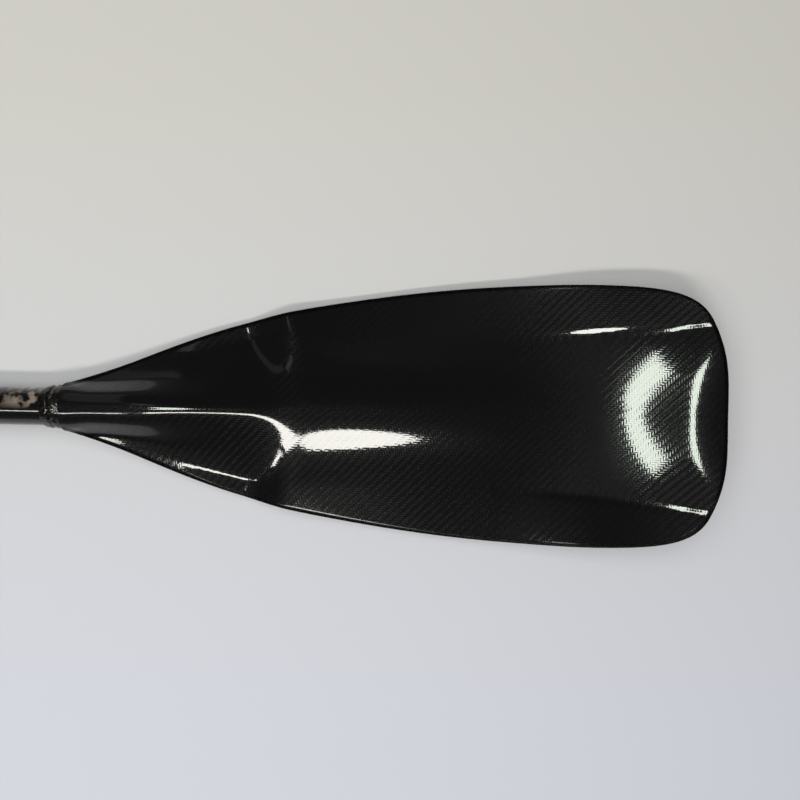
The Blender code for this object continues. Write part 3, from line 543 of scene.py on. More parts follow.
@dataclass(frozen=True)
class TwillCarbon:
    """Carbon cloth in 2x2 twill under clear epoxy, moulded against polished steel.

    The coat mirrors the lamps sharply. The tows below it catch them at their own slant, so the
    weave shows only as a fringe of diagonal glints round each bright reflection.
    """

    tow: float = 1.67 * MM           # width of a 3K tow in this cloth
    fibre: str = "#080809"
    resin_rich: str = "#040405"
    fibre_gloss: float = 0.08            # specular level of the tows, which the coat outshines
    roughness: tuple[float, float] = (0.22, 0.30)    # crosswise and lengthwise tows
    relief: float = 0.11 * MM
    print_through: float = 0.007 * MM    # how much of that relief the coat still shows
    coat_roughness: float = 0.035
    tow_crown: float = 0.6               # below 1, a tow is flatter than half a round
    smear_and_sheen: str = "#8d8074"               # resin wiped along the shaft above the neck; its pale colour is a painted sheen on the upper side
    smear_run: tuple[float, float] = (-44 * MM, -24 * MM)    # stations where it starts, is full
    smear_and_sheen_side: tuple[float, float] = (-2 * MM, 3 * MM)      # the same across the shaft: its upper side, where the painted sheen is laid
    smear_patch: float = 6 * MM
    smear_edge: tuple[float, float] = (0.42, 0.60)           # of the noise, where a patch starts
    smear_lumps: float = 0.12 * MM

    def build(self, name: str, round_tube: float = 0.0) -> bpy.types.Material:
        """Make the material.

        Args:
            name: name of the material
            round_tube: radius of the tube the cloth is wrapped on, or 0 for a flat lay-up

        Returns:
            The material.
        """
        material, tree, shader = new_material(name)
        height, over = self.weave(tree, *self.cloth(tree, round_tube))
        colour = add_node(tree, "Mix", {0: height, 6: srgb(self.resin_rich), 7: srgb(self.fibre)},
                          data_type="RGBA")
        bump = add_node(tree, "Bump", {"Strength": 1.0, "Distance": self.relief, "Height": height})
        sunk = add_node(tree, "Bump", {"Strength": 1.0, "Distance": self.print_through, "Height": height})
        rough = add_node(tree, "MapRange", {0: over, 3: self.roughness[0], 4: self.roughness[1]})
        if round_tube:
            colour, sunk = self.wiped_with_sheen(tree, colour, sunk)
        trimmed = add_node(tree, "Attribute", attribute_name=TRIMMED)
        coat = add_node(tree, "Math", {0: 1.0, 1: trimmed.outputs["Fac"]}, operation="SUBTRACT")
        feed(tree, shader, {"Base Color": colour.outputs[2], "Roughness": rough.outputs[0],
                            "Normal": bump.outputs[0], "Specular IOR Level": self.fibre_gloss,
                            "Coat Weight": coat.outputs[0], "Coat Roughness": self.coat_roughness,
                            "Coat Normal": sunk.outputs[0], "Coat IOR": EPOXY_IOR})
        return material

    def wiped_with_sheen(self, tree: bpy.types.NodeTree, colour: bpy.types.Node,
              sunk: bpy.types.Node) -> tuple[bpy.types.Node, bpy.types.Node]:
        """Lay patches of resin over the shaft's upper side where it enters the neck, in a pale colour
        that is a painted sheen.

        Args:
            tree: node tree
            colour: the cloth's colour
            sunk: the coat's relief

        Returns:
            Colour and relief with the patches.
        """
        spot = add_node(tree, "TexCoord")
        split = add_node(tree, "SeparateXYZ", {0: spot.outputs["Object"]})
        noise = add_node(tree, "TexNoise", {"Vector": spot.outputs["Object"], "Detail": 1.5,
                                            "Scale": 1 / self.smear_patch})
        run = tuple(BLADE_START + station for station in self.smear_run)
        near, upper, patch = (add_node(tree, "MapRange", {0: where, 1: start, 2: full}).outputs[0]
                              for where, (start, full) in ((split.outputs[0], run),
                                                           (split.outputs[1], self.smear_and_sheen_side),
                                                           (noise.outputs[0], self.smear_edge)))
        side = add_node(tree, "Math", {0: near, 1: upper}, operation="MULTIPLY").outputs[0]
        share = add_node(tree, "Math", {0: side, 1: patch}, operation="MULTIPLY").outputs[0]
        # Painted sheen: the pale colour stands in for a reflection on the shaft's upper side; the lumps
        # below are real relief
        mixed = add_node(tree, "Mix", {0: share, 6: colour.outputs[2], 7: srgb(self.smear_and_sheen)},
                         data_type="RGBA")
        lumps = add_node(tree, "Bump", {"Strength": 1.0, "Distance": self.smear_lumps,
                                        "Height": share, "Normal": sunk.outputs[0]})
        return mixed, lumps

    def cloth(self, tree: bpy.types.NodeTree, round_tube: float) -> tuple[Socket, Socket]:
        """Coordinates on the cloth, counted in tows.

        Args:
            tree: node tree
            round_tube: radius of the tube the cloth is wrapped on, or 0 for a flat lay-up

        Returns:
            Count of tows along the shaft and across it.
        """
        place_on = add_node(tree, "TexCoord")
        split = add_node(tree, "SeparateXYZ", {0: place_on.outputs["Object"]})
        along = add_node(tree, "Math", {0: split.outputs[0], 1: 1 / self.tow}, operation="MULTIPLY")
        across = split.outputs[1]
        turns = 1 / self.tow
        if round_tube:
            lifted = add_node(tree, "Math", {0: split.outputs[2], 1: SHAFT_HEIGHT}, operation="SUBTRACT")
            angle = add_node(tree, "Math", {0: lifted.outputs[0], 1: across}, operation="ARCTAN2")
            across = angle.outputs[0]
            # A whole number of repeats goes round the tube, so the cloth closes without a step
            turns = 4 * round(math.pi * round_tube / 2 / self.tow) / (2 * math.pi)
        count = add_node(tree, "Math", {0: across, 1: turns}, operation="MULTIPLY")
        return along.outputs[0], count.outputs[0]

    def weave(self, tree: bpy.types.NodeTree, u: Socket, v: Socket) -> tuple[Socket, Socket]:
        """Height of the tow on top: each passes over two and under two, one step on in each row.

        Args:
            tree: node tree
            u: count of tows along the shaft
            v: count of tows across it

        Returns:
            Height from 0 to 1, and 1 where the lengthwise tow is on top.
        """
        # Each step's name, its operation and its two inputs
        steps = [("column", "FLOOR", "u", 0.0), ("row", "FLOOR", "v", 0.0),
                 ("along", "SUBTRACT", "u", "row"), ("long run", "FLOORED_MODULO", "along", 4.0),
                 ("across", "SUBTRACT", "v", "column"), ("late", "SUBTRACT", "across", 1.0),
                 ("cross run", "FLOORED_MODULO", "late", 4.0), ("over", "LESS_THAN", "long run", 2.0)]
        for way, width in (("long ", "v"), ("cross ", "u")):
            steps += [(way + "turn", "MULTIPLY", way + "run", math.pi / 2),
                      (way + "wave", "SINE", way + "turn", 0.0),
                      (way + "crown", "MAXIMUM", way + "wave", 0.0),
                      (way + "half", "MULTIPLY", way + "crown", 0.5),
                      (way + "lift", "ADD", way + "half", 0.5),
                      (way + "side", "FRACT", width, 0.0),
                      (way + "angle", "MULTIPLY", way + "side", math.pi),
                      (way + "round", "SINE", way + "angle", 0.0),
                      (way + "section", "POWER", way + "round", self.tow_crown),
                      (way + "height", "MULTIPLY", way + "section", way + "lift")]
        made: dict[str | float, Socket] = {"u": u, "v": v}
        for name, operation, first, second in steps:
            node = add_node(tree, "Math", {0: made[first], 1: made.get(second, second)},
                            operation=operation)
            made[name] = node.outputs[0]
        height = add_node(tree, "Mix", {0: made["over"], 2: made["cross height"],
                                        3: made["long height"]}, data_type="FLOAT")
        return height.outputs[0], made["over"]


@dataclass
class Blade:
    """The two moulded skins of the blade, whose edge is trimmed and sanded matt."""

    form: BladeForm
    rows: int = 260
    half_columns: int = 110
    trimmed: float = 2.2 * MM        # width of the sanded edge
    trim_fade: float = 1.5 * MM      # how softly it ends
    solid_edge: float = 12 * MM      # width without foam along the edge
    pieces: list[bpy.types.Object] = field(default_factory=list)

    def build(self) -> None:
        """Draw each skin as a closed shell with the socket for the shaft in its neck."""
        form = self.form
        station, y = form.grid(self.rows, self.half_columns)
        front, middle, back = form.surfaces(station, y)
        inset = np.abs(y) < np.abs(y[:, -1:]) - self.solid_edge
        hollow = (station > form.core[0]) & (station < form.core[1]) & inset
        edge = 1 - smooth_step((form.rim_distance(station, y) - self.trimmed) / self.trim_fade)
        seam = CLEARANCE / 2
        under = np.where(hollow, np.maximum(front - form.skin, middle + seam), middle + seam)
        over = np.where(hollow, np.minimum(back + form.skin, middle - seam), middle - seam)
        bore = np.sqrt(np.maximum(form.socket_radius ** 2 - y ** 2, 0))
        in_socket = (station < form.socket_depth) & (bore > 0)
        under = np.where(in_socket, np.maximum(under, bore), under)
        over = np.where(in_socket, np.minimum(over, -bore), over)
        for name, top, bottom in (("blade_front_skin", front, under), ("blade_back_skin", over, back)):
            mesh = slab(name + "_fine", form.positions(station, y, top),
                        form.positions(station, y, bottom))
            mark = mesh.attributes.new(TRIMMED, "FLOAT", "POINT")
            mark.data.foreach_set("value", np.tile(edge.ravel(), 2))
            piece = place(name + "_fine", mesh)
            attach(piece, "paddle")
            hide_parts(name)
            self.pieces.append(piece)

    def dress(self, finish: bpy.types.Material) -> None:
        """Give both skins the same cloth.

        Args:
            finish: the cloth under its coat
        """
        for piece in self.pieces:
            piece.data.materials.append(finish)
            LOG.info("%s: %d faces", piece.name, len(piece.data.polygons))


@dataclass(frozen=True)
class ResinBead:
    """Bead of epoxy that was laid by hand round the shaft at the neck's mouth, lumpy and clear."""

    bore: float = 14.55 * MM
    upper_end: float = -8.5 * MM
    profile: tuple = (0.35, 1.45, 0.06, 0.72)        # least and added height, start and span of its arc
    groove: tuple = (0.55, 0.52, 0.09)               # a finger's groove: depth, place, width
    ragged: tuple = ((0.9, 3, 0.7), (0.6, 5, 0.0))   # its upper edge: height, waves round it, phase
    # Lumps: height, waves round the shaft, their drift along it, phase
    lumps: tuple = ((0.25, 4, 3, 0), (0.20, 7, -5, 0), (0.10, 13, 9, 0), (0.07, 23, -14, 1))
    lump_share: float = 3.2
    rings: int = 36
    sides: int = 128

    def build(self, form: BladeForm) -> bpy.types.Object:
        """Draw the bead between the bare shaft and the mouth of the neck.

        Args:
            form: the blade that it seals against

        Returns:
            The piece.
        """
        outer, inner = [], []
        mouth = form.mouth_inset - 1.5 * CLEARANCE
        least, added, first, span = self.profile
        depth, middle, width = self.groove
        for k in range(self.rings + 1):
            u = k / self.rings
            swell = least + added * math.sin(math.pi * (first + span * u))
            swell *= 1 - depth * math.exp(-((u - middle) / width) ** 2)
            ring, bore = [], []
            for side in range(self.sides):
                angle = 2 * math.pi * side / self.sides
                waves = sum(size * math.sin(count * angle + phase) for size, count, phase in self.ragged)
                start = self.upper_end + waves * MM
                lump = sum(size * math.sin(count * angle + drift * u + phase)
                           for size, count, drift, phase in self.lumps)
                height = (swell + lump * self.lump_share * u * (1 - u)) * MM
                for loop, radius in ((ring, self.bore + height), (bore, self.bore)):
                    y, z = radius * math.cos(angle), radius * math.sin(angle)
                    loop.append((start + (mouth - start) * u, y, z))
            outer.append(ring)
            inner.append(bore)
        loops = outer + inner[::-1]
        points = [point for loop in loops for point in loop]
        faces = bands(len(loops), self.sides, closed=True)
        piece = place("neck_resin_bead", new_mesh("neck_resin_bead", points, faces))
        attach(piece, "paddle")
        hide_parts("neck_resin_collar")
        return piece


def cut(piece: bpy.types.Object, cutter: bpy.types.Object) -> None:
    """Take the cutter's shape out of a piece's mesh.

    Args:
        piece: object that is cut
        cutter: object whose shape is taken out; it stays
    """
    tool = piece.modifiers.new("cut", "BOOLEAN")
    tool.operation, tool.solver, tool.object = "DIFFERENCE", "EXACT", cutter
    bpy.context.view_layer.update()
    shape = piece.evaluated_get(bpy.context.evaluated_depsgraph_get())
    mesh = bpy.data.meshes.new_from_object(shape)
    piece.modifiers.clear()
    piece.data = mesh


@dataclass(frozen=True)
class ShaftTubes:
    """The two carbon tubes: the lower one slit at its mouth, the upper one with its key groove."""

    lower: tuple = (-428 * MM, 62 * MM, 14.25 * MM, 13.05 * MM)     # ends, radius and bore
    upper: tuple = (-690 * MM, -240 * MM, 12.75 * MM, 11.55 * MM)
    groove: tuple = (1.5 * MM, 11.4 * MM)                           # half width, height of its floor
    slit: tuple = (1.5 * MM, 26 * MM)                               # half width and length
    slit_heights: tuple = (12 * MM, 16 * MM)                        # more than the lower tube's wall
    sides: int = 144

    def section(self, radius: float, groove: tuple | None) -> list[Point]:
        """Draw a round section, with a square-bottomed groove along its underside if one is given.

        Args:
            radius: radius of the tube
            groove: the groove's half width and the height of its floor, or None

        Returns:
            Its points, as offset and height.
        """
        edge = math.asin(groove[0] / radius) if groove else 0.0
        span = 2 * math.pi - 2 * edge
        steps = self.sides if groove else self.sides + 1
        ring = [-math.pi / 2 + edge + span * k / steps for k in range(self.sides + 1)]
        points = [(radius * math.cos(a), radius * math.sin(a)) for a in ring]
        if groove:
            points += [(-groove[0], -groove[1]), (groove[0], -groove[1])]
        return points

    def tube(self, name: str, ends: tuple, outer: list[Point], inner: list[Point]) -> bpy.types.Object:
        """Draw a tube between two stations.

        Args:
            name: name of the piece
            ends: its two stations
            outer: outer section
            inner: inner section, of as many points

        Returns:
            The piece.
        """
        loops = [(ends[0], outer), (ends[1], outer), (ends[1], inner), (ends[0], inner)]
        points = [(station, y, z) for station, loop in loops for y, z in loop]
        return place(name, new_mesh(name, points, bands(len(loops), len(outer), closed=True)))

    def build(self) -> None:
        """Draw both tubes, each on its own body, and wrap them in cloth."""
        groove_wall = self.upper[2] - self.upper[3]
        deeper = (self.groove[0] + groove_wall, self.groove[1] - groove_wall)
        lower = self.tube("lower_shaft_fine", self.lower[:2], self.section(self.lower[2], None),
                          self.section(self.lower[3], None))
        upper = self.tube("upper_shaft_fine", self.upper[:2], self.section(self.upper[2], self.groove),
                          self.section(self.upper[3], deeper))
        half, length = self.slit
        start = self.lower[0]
        for side in (1, -1):
            corners = [(x, y, z * side) for x in (start - MM, start + length) for y in (-half, half)
                       for z in self.slit_heights]
            block = [(0, 1, 3, 2), (4, 6, 7, 5), (0, 4, 5, 1), (2, 3, 7, 6), (0, 2, 6, 4), (1, 5, 7, 3)]
            cutter = place("slit", new_mesh("slit", corners, block))
            cut(lower, cutter)
            bpy.data.objects.remove(cutter)
        for piece, node, body, radius in ((lower, "lower_shaft", "paddle", self.lower[2]),
                                          (upper, "upper_shaft", "handle", self.upper[2])):
            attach(piece, body)
            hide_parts(node)
            piece.data.materials.clear()
            piece.data.materials.append(TwillCarbon().build("wrapped_" + node, radius))
            LOG.info("%s: %d faces", piece.name, len(piece.data.polygons))


@dataclass(frozen=True)
class GripHalves:
    """The T grip's two moulded halves, closed round the stem, with a fine bevel along their seam."""

    end: float = -755 * MM
    top: float = -690 * MM           # where the upper tube begins
    neck: float = 14.2 * MM
    plan: tuple = (
        ((-755, 30), (-755, 48), (-751, 59), (-740, 59)),
        ((-740, 59), (-731, 59), (-725, 55), (-721, 42)),
        ((-721, 42), (-716, 25), (-708, 14.2), (-690, 14.2)),
    )
    side: tuple = (
        ((-755, 5.5), (-755, 12), (-750, 18), (-742, 18)),
        ((-742, 18), (-738, 18), (-734, 18), (-730, 18)),
        ((-730, 18), (-718, 18), (-706, 14.2), (-690, 14.2)),
    )
    squareness: float = 2.7          # exponent of the section at its widest; 2 is round
    square_run: float = 30 * MM      # how much wider than the neck it is fully square
    sections: int = 90
    crowding: float = 1.7            # stations crowd towards the crown, where the section changes fastest
    sides: int = 160                 # points round each half
    seam_bevel: float = 0.6 * MM
    pocket: tuple = ((-712.6, 0.4, 11.3), (-706, 11.3, 9.3))   # steps: station, radius before, after
    step: float = 0.01 * MM          # how far apart the two sections of such a step stand
    bores: tuple = ((-20, 3.5), (-9, 3.5), (-9, 1.9), (9, 1.9))     # height and radius down a screw
    bore_sides: int = 48
    screw_station: float = -738 * MM
    screw_spread: float = 34 * MM

    def outline(self, station: float) -> tuple[float, float, float]:
        """Read the section at a station.

        Args:
            station: station along the shaft

        Returns:
            Its half width, half height and squareness.
        """
        plan, side = bezier_line(self.plan, 24), bezier_line(self.side, 24)
        half_width = float(np.interp(station, plan[:, 0], plan[:, 1]))
        half_height = float(np.interp(station, side[:, 0], side[:, 1]))
        share = min(max((half_width - self.neck) / self.square_run, 0), 1)
        return half_width, half_height, 2 + (self.squareness - 2) * share

    def half(self, name: str, sign: int) -> bpy.types.Mesh:
        """Loft one half from the crown to the neck, hollow where the stem runs.

        Args:
            name: name of the mesh
            sign: 1 for the upper half, -1 for the lower one

        Returns:
            The closed mesh.
        """
        reach = self.top - CLEARANCE - self.end
        rows = [(self.end + reach * (k / self.sections) ** self.crowding, None)
                for k in range(self.sections + 1)]
        for station, before, after in self.pocket:
            rows += [(station * MM, before), (station * MM + self.step, after)]
        seam = CLEARANCE / 2
        rings = []
        inner = self.pocket[0][1] * MM
        for station, change in sorted(rows, key=lambda row: row[0]):
            inner = inner if change is None else change * MM
            half_width, half_height, square = self.outline(station)
            ring = []
            for k in range(self.sides + 1):
                angle = math.pi * k / self.sides
                c, s = math.cos(angle), math.sin(angle)
                y = math.copysign(abs(c) ** (2 / square), c) * half_width
                z = abs(s) ** (2 / square) * half_height
                # The shell's edge turns in a little just above the seam
                turned = self.seam_bevel * max(1 - (z - seam) / self.seam_bevel, 0) ** 2 / 2
                ring.append((station, y - math.copysign(turned, y), sign * max(z, seam)))
            for k in range(self.sides, -1, -1):
                angle = math.pi * k / self.sides
                height = max(inner * math.sin(angle), seam)
                ring.append((station, inner * math.cos(angle), sign * height))
            rings.append(ring)
        count = len(rings[0])
        points = [point for ring in rings for point in ring]
        faces = bands(len(rings), count)
        last = (len(rings) - 1) * count
        for start in (0, last):
            for k in range(self.sides):
                faces.append((start + k, start + k + 1, start + count - 2 - k, start + count - 1 - k))
        return new_mesh(name, points, faces)

    def bore_cutter(self) -> bpy.types.Object:
        """Draw the two stepped bores that take the screws from below.

        Returns:
            One object with both bores, to cut the halves with.
        """
        sides = self.bore_sides
        turns = [2 * math.pi * k / sides for k in range(sides)]
        points, faces = [], []
        for way in (-1, 1):
            first = len(points)
            for height, radius in self.bores:
                points += [(self.screw_station + radius * MM * math.cos(turn),
                            way * self.screw_spread + radius * MM * math.sin(turn), height * MM)
                           for turn in turns]
            faces += bands(len(self.bores), sides, first=first)
            faces.append(tuple(range(first, first + sides)))
            faces.append(tuple(range(len(points) - sides, len(points))))
        return place("screw_bores", new_mesh("screw_bores", points, faces))

    def build(self) -> list[bpy.types.Object]:
        """Draw both halves, bore them for the screws and let them slide with the upper tube.

        Returns:
            The two pieces.
        """
        pieces = []
        cutter = self.bore_cutter()
        for name, sign in (("grip_front_shell", 1), ("grip_back_shell", -1)):
            piece = place(name + "_fine", self.half(name + "_fine", sign))
            cut(piece, cutter)
            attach(piece, "handle")
            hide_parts(name)
            pieces.append(piece)
        bpy.data.objects.remove(cutter)
        return pieces


# Finishes of the other pieces


@dataclass(frozen=True)
class Finish:
    """A moulded, turned or anodised surface, with a fine grain in its relief and its gloss.

    The grain breaks up the reflections a little, so that no face looks like flat colour.
    """

    low: str
    high: str
    roughness: float
    grain: float                     # size of the grain
    relief: float                    # depth of the grain
    metallic: float = 0.0
    stretch: tuple[float, float, float] = (1.0, 1.0, 1.0)
    spread: float = 0.08             # how much the roughness varies
    octaves: float = 3.0             # of the grain's noise
    fading: float = 0.55             # how much of each octave the next one keeps

    def build(self, name: str) -> bpy.types.Material:
        """Make the material.

        Args:
            name: name of the material

        Returns:
            The material.
        """
        material, tree, shader = new_material(name)
        coordinates = add_node(tree, "TexCoord")
        stretched = add_node(tree, "Mapping", {0: coordinates.outputs["Object"], 3: self.stretch})
        noise = add_node(tree, "TexNoise", {"Vector": stretched.outputs[0], "Scale": 1 / self.grain,
                                            "Detail": self.octaves, "Roughness": self.fading})
        colour = add_node(tree, "Mix", {0: noise.outputs[0], 6: srgb(self.low), 7: srgb(self.high)},
                          data_type="RGBA")
        rough = add_node(tree, "MapRange", {0: noise.outputs[0], 3: self.roughness - self.spread / 2,
                                            4: self.roughness + self.spread / 2})
        bump = add_node(tree, "Bump", {"Strength": 1.0, "Distance": self.relief,
                                       "Height": noise.outputs[0]})
        feed(tree, shader, {"Base Color": colour.outputs[2], "Roughness": rough.outputs[0],
                            "Normal": bump.outputs[0], "Metallic": self.metallic})
        return material


@dataclass(frozen=True)
class ClearResin:
    """Cast epoxy over the black shaft: dark, with amber where it is thick and sharp glints."""

    thin: str = "#0c0b0a"
    thick: str = "#4e4236"
    thickening: tuple[float, float] = (0.50, 0.72)   # of the noise, from thin to thick
    lump: float = 2.2 * MM
    relief: float = 0.45 * MM
    roughness: tuple[float, float] = (0.04, 0.08)
    clearness: float = 0.6

    def build(self, name: str) -> bpy.types.Material:
        """Make the material.

        Args:
            name: name of the material

        Returns:
            The material.
        """
        material, tree, shader = new_material(name)
        coordinates = add_node(tree, "TexCoord")
        noise = add_node(tree, "TexNoise", {"Vector": coordinates.outputs["Object"], "Detail": 1.0,
                                            "Scale": 1 / self.lump})
        share = add_node(tree, "MapRange", {0: noise.outputs[0], 1: self.thickening[0],
                                            2: self.thickening[1]})
        tint = add_node(tree, "Mix", {0: share.outputs[0], 6: srgb(self.thin), 7: srgb(self.thick)},
                        data_type="RGBA")
        bump = add_node(tree, "Bump", {"Strength": 1.0, "Distance": self.relief,
                                       "Height": noise.outputs[0]})
        rough = add_node(tree, "MapRange", {0: noise.outputs[0], 3: self.roughness[0],
                                            4: self.roughness[1]})
        feed(tree, shader, {"Base Color": tint.outputs[2], "Roughness": rough.outputs[0],
                            "Normal": bump.outputs[0], "Transmission Weight": self.clearness,
                            "IOR": EPOXY_IOR})
        return material


FINISHES = {
    # Glass-filled nylon from an eroded mould: satin black with a fine orange peel
    Slot.NYLON: Finish("#131314", "#1c1c1e", 0.48, 0.5 * MM, 0.02 * MM),
    # Machined acetal: milky white, slightly waxy
    Slot.ACETAL: Finish("#d9d8d0", "#e6e5de", 0.38, 0.8 * MM, 0.01 * MM),
    # Turned stainless steel: the tool's marks run round the bolt, drawn as a stretched grain
    Slot.STEEL: Finish("#b9b7b2", "#cfcdc8", 0.28, 0.25 * MM, 0.006 * MM, 1.0, (1.0, 0.15, 1.0)),
    # Bead-blasted aluminium, anodised black: dark grey metal with a fine even sparkle
    Slot.ALUMINIUM: Finish("#3a3a3d", "#47474b", 0.36, 0.12 * MM, 0.006 * MM, 1.0),
    # Moulded rubber: dull, almost black
    Slot.RUBBER: Finish("#161616", "#202020", 0.78, 0.6 * MM, 0.03 * MM),
    # Closed-cell foam, cut to shape: cream, with small open cells
    Slot.FOAM: Finish("#d3c694", "#e2d8ab", 0.9, 0.7 * MM, 0.15 * MM),
    # Grip moulding with a leather-like texture that isn't slippery when wet
    Slot.GRIP: Finish("#161617", "#232325", 0.50, 1.1 * MM, 0.22 * MM),
}


# Light, table and camera


@dataclass(frozen=True)
class Lamp:
    """A soft rectangular lamp that looks at a point of the table."""

    name: str
    centre: tuple[float, float, float]
    size: tuple[float, float]
    radiance: float
    target: tuple[float, float, float] = (0.38, 0.0, 0.0)
    tint: str = "#ffffff"
    mirrored: bool = True            # False for light that only fills the shadows
    turn: float = 0.0                # turned in its own plane, in degrees

    def build(self) -> None:
        """Hang the lamp; its power follows from its radiance and its area."""
        lamp = bpy.data.lights.new(self.name, "AREA")
        lamp.shape = "RECTANGLE"
        lamp.size, lamp.size_y = self.size
        lamp.energy = self.radiance * math.pi * self.size[0] * self.size[1]
        lamp.color = srgb(self.tint)[:3]
        holder = bpy.data.objects.new(self.name, lamp)
        holder.location = self.centre
        back = (Vector(self.centre) - Vector(self.target)).normalized()
        up = back.cross(Vector((1, 0, 0))).normalized()
        facing = Matrix((up.cross(back), up, back)).transposed()
        facing = facing @ Matrix.Rotation(math.radians(self.turn), 3, "Z")
        holder.rotation_euler = facing.to_euler()
        holder.visible_glossy = self.mirrored
        bpy.context.scene.collection.objects.link(holder)


@dataclass(frozen=True)
class Studio:
    """A pale table in a room that is dark overhead and lighter towards its walls."""

    lamps: tuple[Lamp, ...] = (
        Lamp("long_strip", (0.21, -1.15, 2.05), (1.00, 0.235), 21.0, (0.21, 0.0, 0.0), "#fffdf6"),
        Lamp("middle_strip", (-0.555, -1.15, 2.05), (0.13, 0.235), 13.0, (-0.555, 0.0, 0.0), "#fffdf6"),
        Lamp("thin_strip", (-0.945, -1.15, 2.05), (0.65, 0.11), 22.0, (-0.945, 0.0, 0.0), "#fffdf6"),
        Lamp("near_panel", (-0.078, -0.149, 2.03), (0.125, 0.32), 20.0, (-0.078, -0.149, 0.0), "#f6fff2",
             turn=-19.0),
        Lamp("far_panel", (-0.072, 0.130, 2.03), (0.155, 0.28), 20.0, (-0.072, 0.130, 0.0), "#f6fff2",
             turn=19.0),
        Lamp("grey_band", (-0.69, 1.75, 1.64), (0.30, 1.80), 0.19, (-0.69, 0.0, 0.0)),
        Lamp("grey_streak", (-0.27, 0.78, 2.05), (0.20, 0.35), 0.45, (-0.27, 0.0, 0.0)),
        Lamp("soft_ceiling", (-0.15, 0.35, 2.2), (2.6, 2.2), 1.6, (0.1, 0.1, 0.0), "#fffefb", False),
    )
    overhead: float = 0.07
    walls: float = 0.16
    wall_top: tuple[float, float] = (0.05, 0.60)      # upward part of the directions where it darkens
    backdrop: float = 0.62           # the pale board and wall behind the object, 1 being white
    backdrop_top: tuple[float, float] = (0.03, 0.12)  # as wall_top, for what a mirror shows of it
    backdrop_tint: str = "#fdfdff"
    board_half: float = 9.0
    board_light_tints: tuple[str, str] = ("#dbddeb", "#dcdad6")    # painted light: cool daylight towards -y, warm room light towards +y
    light_tint_half: float = 0.25
    board_roughness: float = 0.75
    board_end: tuple[float, float] = (0.9, 2.0)      # radii between which it turns into backdrop

    def build(self) -> None:
        """Light the room and lay the table."""
        for lamp in self.lamps:
            lamp.build()
        self.light_room()
        self.lay_table()

    def light_room(self) -> None:
        """Grey room light that rises from the zenith to the walls."""
        world = bpy.data.worlds.new("room")
        bpy.context.scene.world = world
        world.use_nodes = True
        tree = world.node_tree
        direction = add_node(tree, "TexCoord")
        split = add_node(tree, "SeparateXYZ", {0: direction.outputs["Generated"]})
        level, low = (add_node(tree, "MapRange", {0: split.outputs[2], 1: top[0], 2: top[1],
                                                  3: below, 4: above}, interpolation_type="SMOOTHSTEP")
                      for top, below, above in ((self.wall_top, self.walls, self.overhead),
                                                (self.backdrop_top, 1.0, 0.0)))
        camera, mirrors = self.seen(tree)
        shown = add_node(tree, "Math", {0: mirrors, 1: low.outputs[0], 2: camera},
                         operation="MULTIPLY_ADD", use_clamp=True)
        strength = add_node(tree, "Mix", {0: shown.outputs[0], 2: level.outputs[0], 3: self.backdrop},
                            data_type="FLOAT")
        feed(tree, tree.nodes["Background"], {"Strength": strength.outputs[0],
                                              "Color": srgb(self.backdrop_tint)})

    @staticmethod
    def seen(tree: bpy.types.NodeTree) -> tuple[Socket, Socket]:
        """Tell what is looked at from what lights the object.

        Args:
            tree: node tree

        Returns:
            1 for what the camera shows, and 1 for what a mirror or clear resin shows.
        """
        rays = add_node(tree, "LightPath")
        either = add_node(tree, "Math", {0: rays.outputs["Is Glossy Ray"],
                                         1: rays.outputs["Is Transmission Ray"]}, operation="MAXIMUM")
        return rays.outputs["Is Camera Ray"], either.outputs[0]

    def lay_table(self) -> None:
        """A wide pale board, as bright far off as near, tinted cooler to one side and warmer to the other
        as painted light: cool daylight and warm room light.
        """
        half = self.board_half
        corners = [(-half, -half, 0), (half, -half, 0), (half, half, 0), (-half, half, 0)]
        mesh = new_mesh("table_top", corners, [(0, 1, 2, 3)])
        table = bpy.data.objects.new("table_top", mesh)
        bpy.context.scene.collection.objects.link(table)
        material, tree, shader = new_material("painted_board")
        coordinates = add_node(tree, "TexCoord")
        split = add_node(tree, "SeparateXYZ", {0: coordinates.outputs["Object"]})
        share = add_node(tree, "MapRange", {0: split.outputs[1], 1: -self.light_tint_half, 2: self.light_tint_half})
        cool, warm = (srgb(tint) for tint in self.board_light_tints)
        # Painted light: the two tints stand in for cool daylight and warm room light, not for the board's
        # own colour
        colour = add_node(tree, "Mix", {0: share.outputs[0], 6: cool, 7: warm}, data_type="RGBA")
        feed(tree, shader, {"Base Color": colour.outputs[2], "Roughness": self.board_roughness})
        radius = add_node(tree, "VectorMath", {0: coordinates.outputs["Object"]}, operation="LENGTH")
        start, end = self.board_end
        far = add_node(tree, "MapRange", {0: radius.outputs["Value"], 1: start, 2: end},
                       interpolation_type="SMOOTHSTEP")
        camera, mirrors = self.seen(tree)
        either = add_node(tree, "Math", {0: camera, 1: mirrors}, operation="MAXIMUM")
        shown = add_node(tree, "Math", {0: either.outputs[0], 1: far.outputs[0]}, operation="MULTIPLY")
        glow = add_node(tree, "Emission", {"Color": srgb(self.backdrop_tint), "Strength": self.backdrop})
        mixed = add_node(tree, "MixShader", {0: shown.outputs[0], 1: shader.outputs[0],
                                             2: glow.outputs[0]})
        feed(tree, tree.nodes["Material Output"], {"Surface": mixed.outputs[0]})
        mesh.materials.append(material)


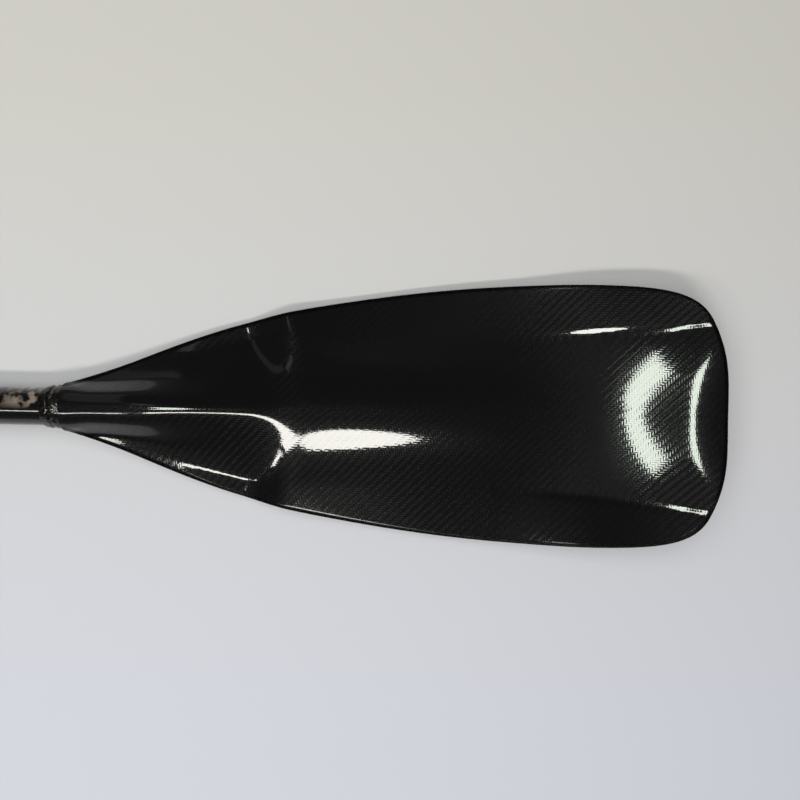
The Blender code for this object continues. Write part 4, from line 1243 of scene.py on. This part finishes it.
@dataclass(frozen=True)
class Camera:
    """Looks straight down on the blade from an arm's length away."""

    x: float = 0.3867
    y: float = 0.0095
    height: float = 0.62
    width: float = 0.606             # what the frame spans at the blade
    level: float = 0.012             # height of the blade there
    roll: float = math.radians(1.03)
    sensor: float = 36.0             # millimetres

    def build(self) -> None:
        """Make the camera and look through it."""
        camera = bpy.data.cameras.new("camera")
        camera.sensor_width = self.sensor
        camera.lens = camera.sensor_width * self.height / self.width
        holder = bpy.data.objects.new("camera", camera)
        holder.location = (self.x, self.y, self.height + self.level)
        holder.rotation_euler = (0.0, 0.0, self.roll)
        bpy.context.scene.collection.objects.link(holder)
        bpy.context.scene.camera = holder


@dataclass(frozen=True)
class Hardware:
    """The pieces whose own solids are kept: clamp, bolt, lever, plugs and screws."""

    bevels: tuple[tuple[str, float], ...] = (
        ("clamp_collar", 0.5 * MM), ("clamp_lever", 0.45 * MM), ("cam_saddle", 0.3 * MM),
        ("mouth_seal", 0.4 * MM))
    bevel_steps: int = 3
    bevel_angle: float = math.radians(40)

    def dress(self, grip: list[bpy.types.Object]) -> None:
        """Give every kept piece the finish of its slot, and round its crisp edges a little.

        Args:
            grip: the grip's halves, which take their slot's finish too
        """
        made = {slot: finish.build(slot.value) for slot, finish in FINISHES.items()}
        widths = dict(self.bevels)
        for piece in grip:
            piece.data.materials.clear()
            piece.data.materials.append(made[Slot.GRIP])
            LOG.info("%s: %d faces", piece.name, len(piece.data.polygons))
        for entry in frame["record"]["subparts"]:
            name, slot = entry["node"], Slot(entry["material_slot"])
            node = frame["nodes"][name]
            if node.hide_render:
                continue
            node.data.materials.clear()
            node.data.materials.append(made[slot])
            if name in widths:
                bevel = node.modifiers.new("rounded edges", "BEVEL")
                bevel.width = widths[name]
                bevel.segments = self.bevel_steps
                bevel.limit_method = "ANGLE"
                bevel.angle_limit = self.bevel_angle
            LOG.info("%s: %s", name, slot.value)


def main() -> None:
    """Build the looks piece by piece."""
    logging.basicConfig(level=logging.INFO, format="%(message)s")
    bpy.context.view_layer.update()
    bpy.context.scene.view_settings.view_transform = "Standard"
    Camera().build()
    Studio().build()
    form = BladeForm()
    blade = Blade(form)
    blade.build()
    blade.dress(TwillCarbon().build("moulded_twill"))
    bead = ResinBead().build(form)
    bead.data.materials.append(ClearResin().build("clear_resin"))
    LOG.info("%s: %d faces", bead.name, len(bead.data.polygons))
    ShaftTubes().build()
    Hardware().dress(GripHalves().build())


if __name__ == "__main__":
    main()
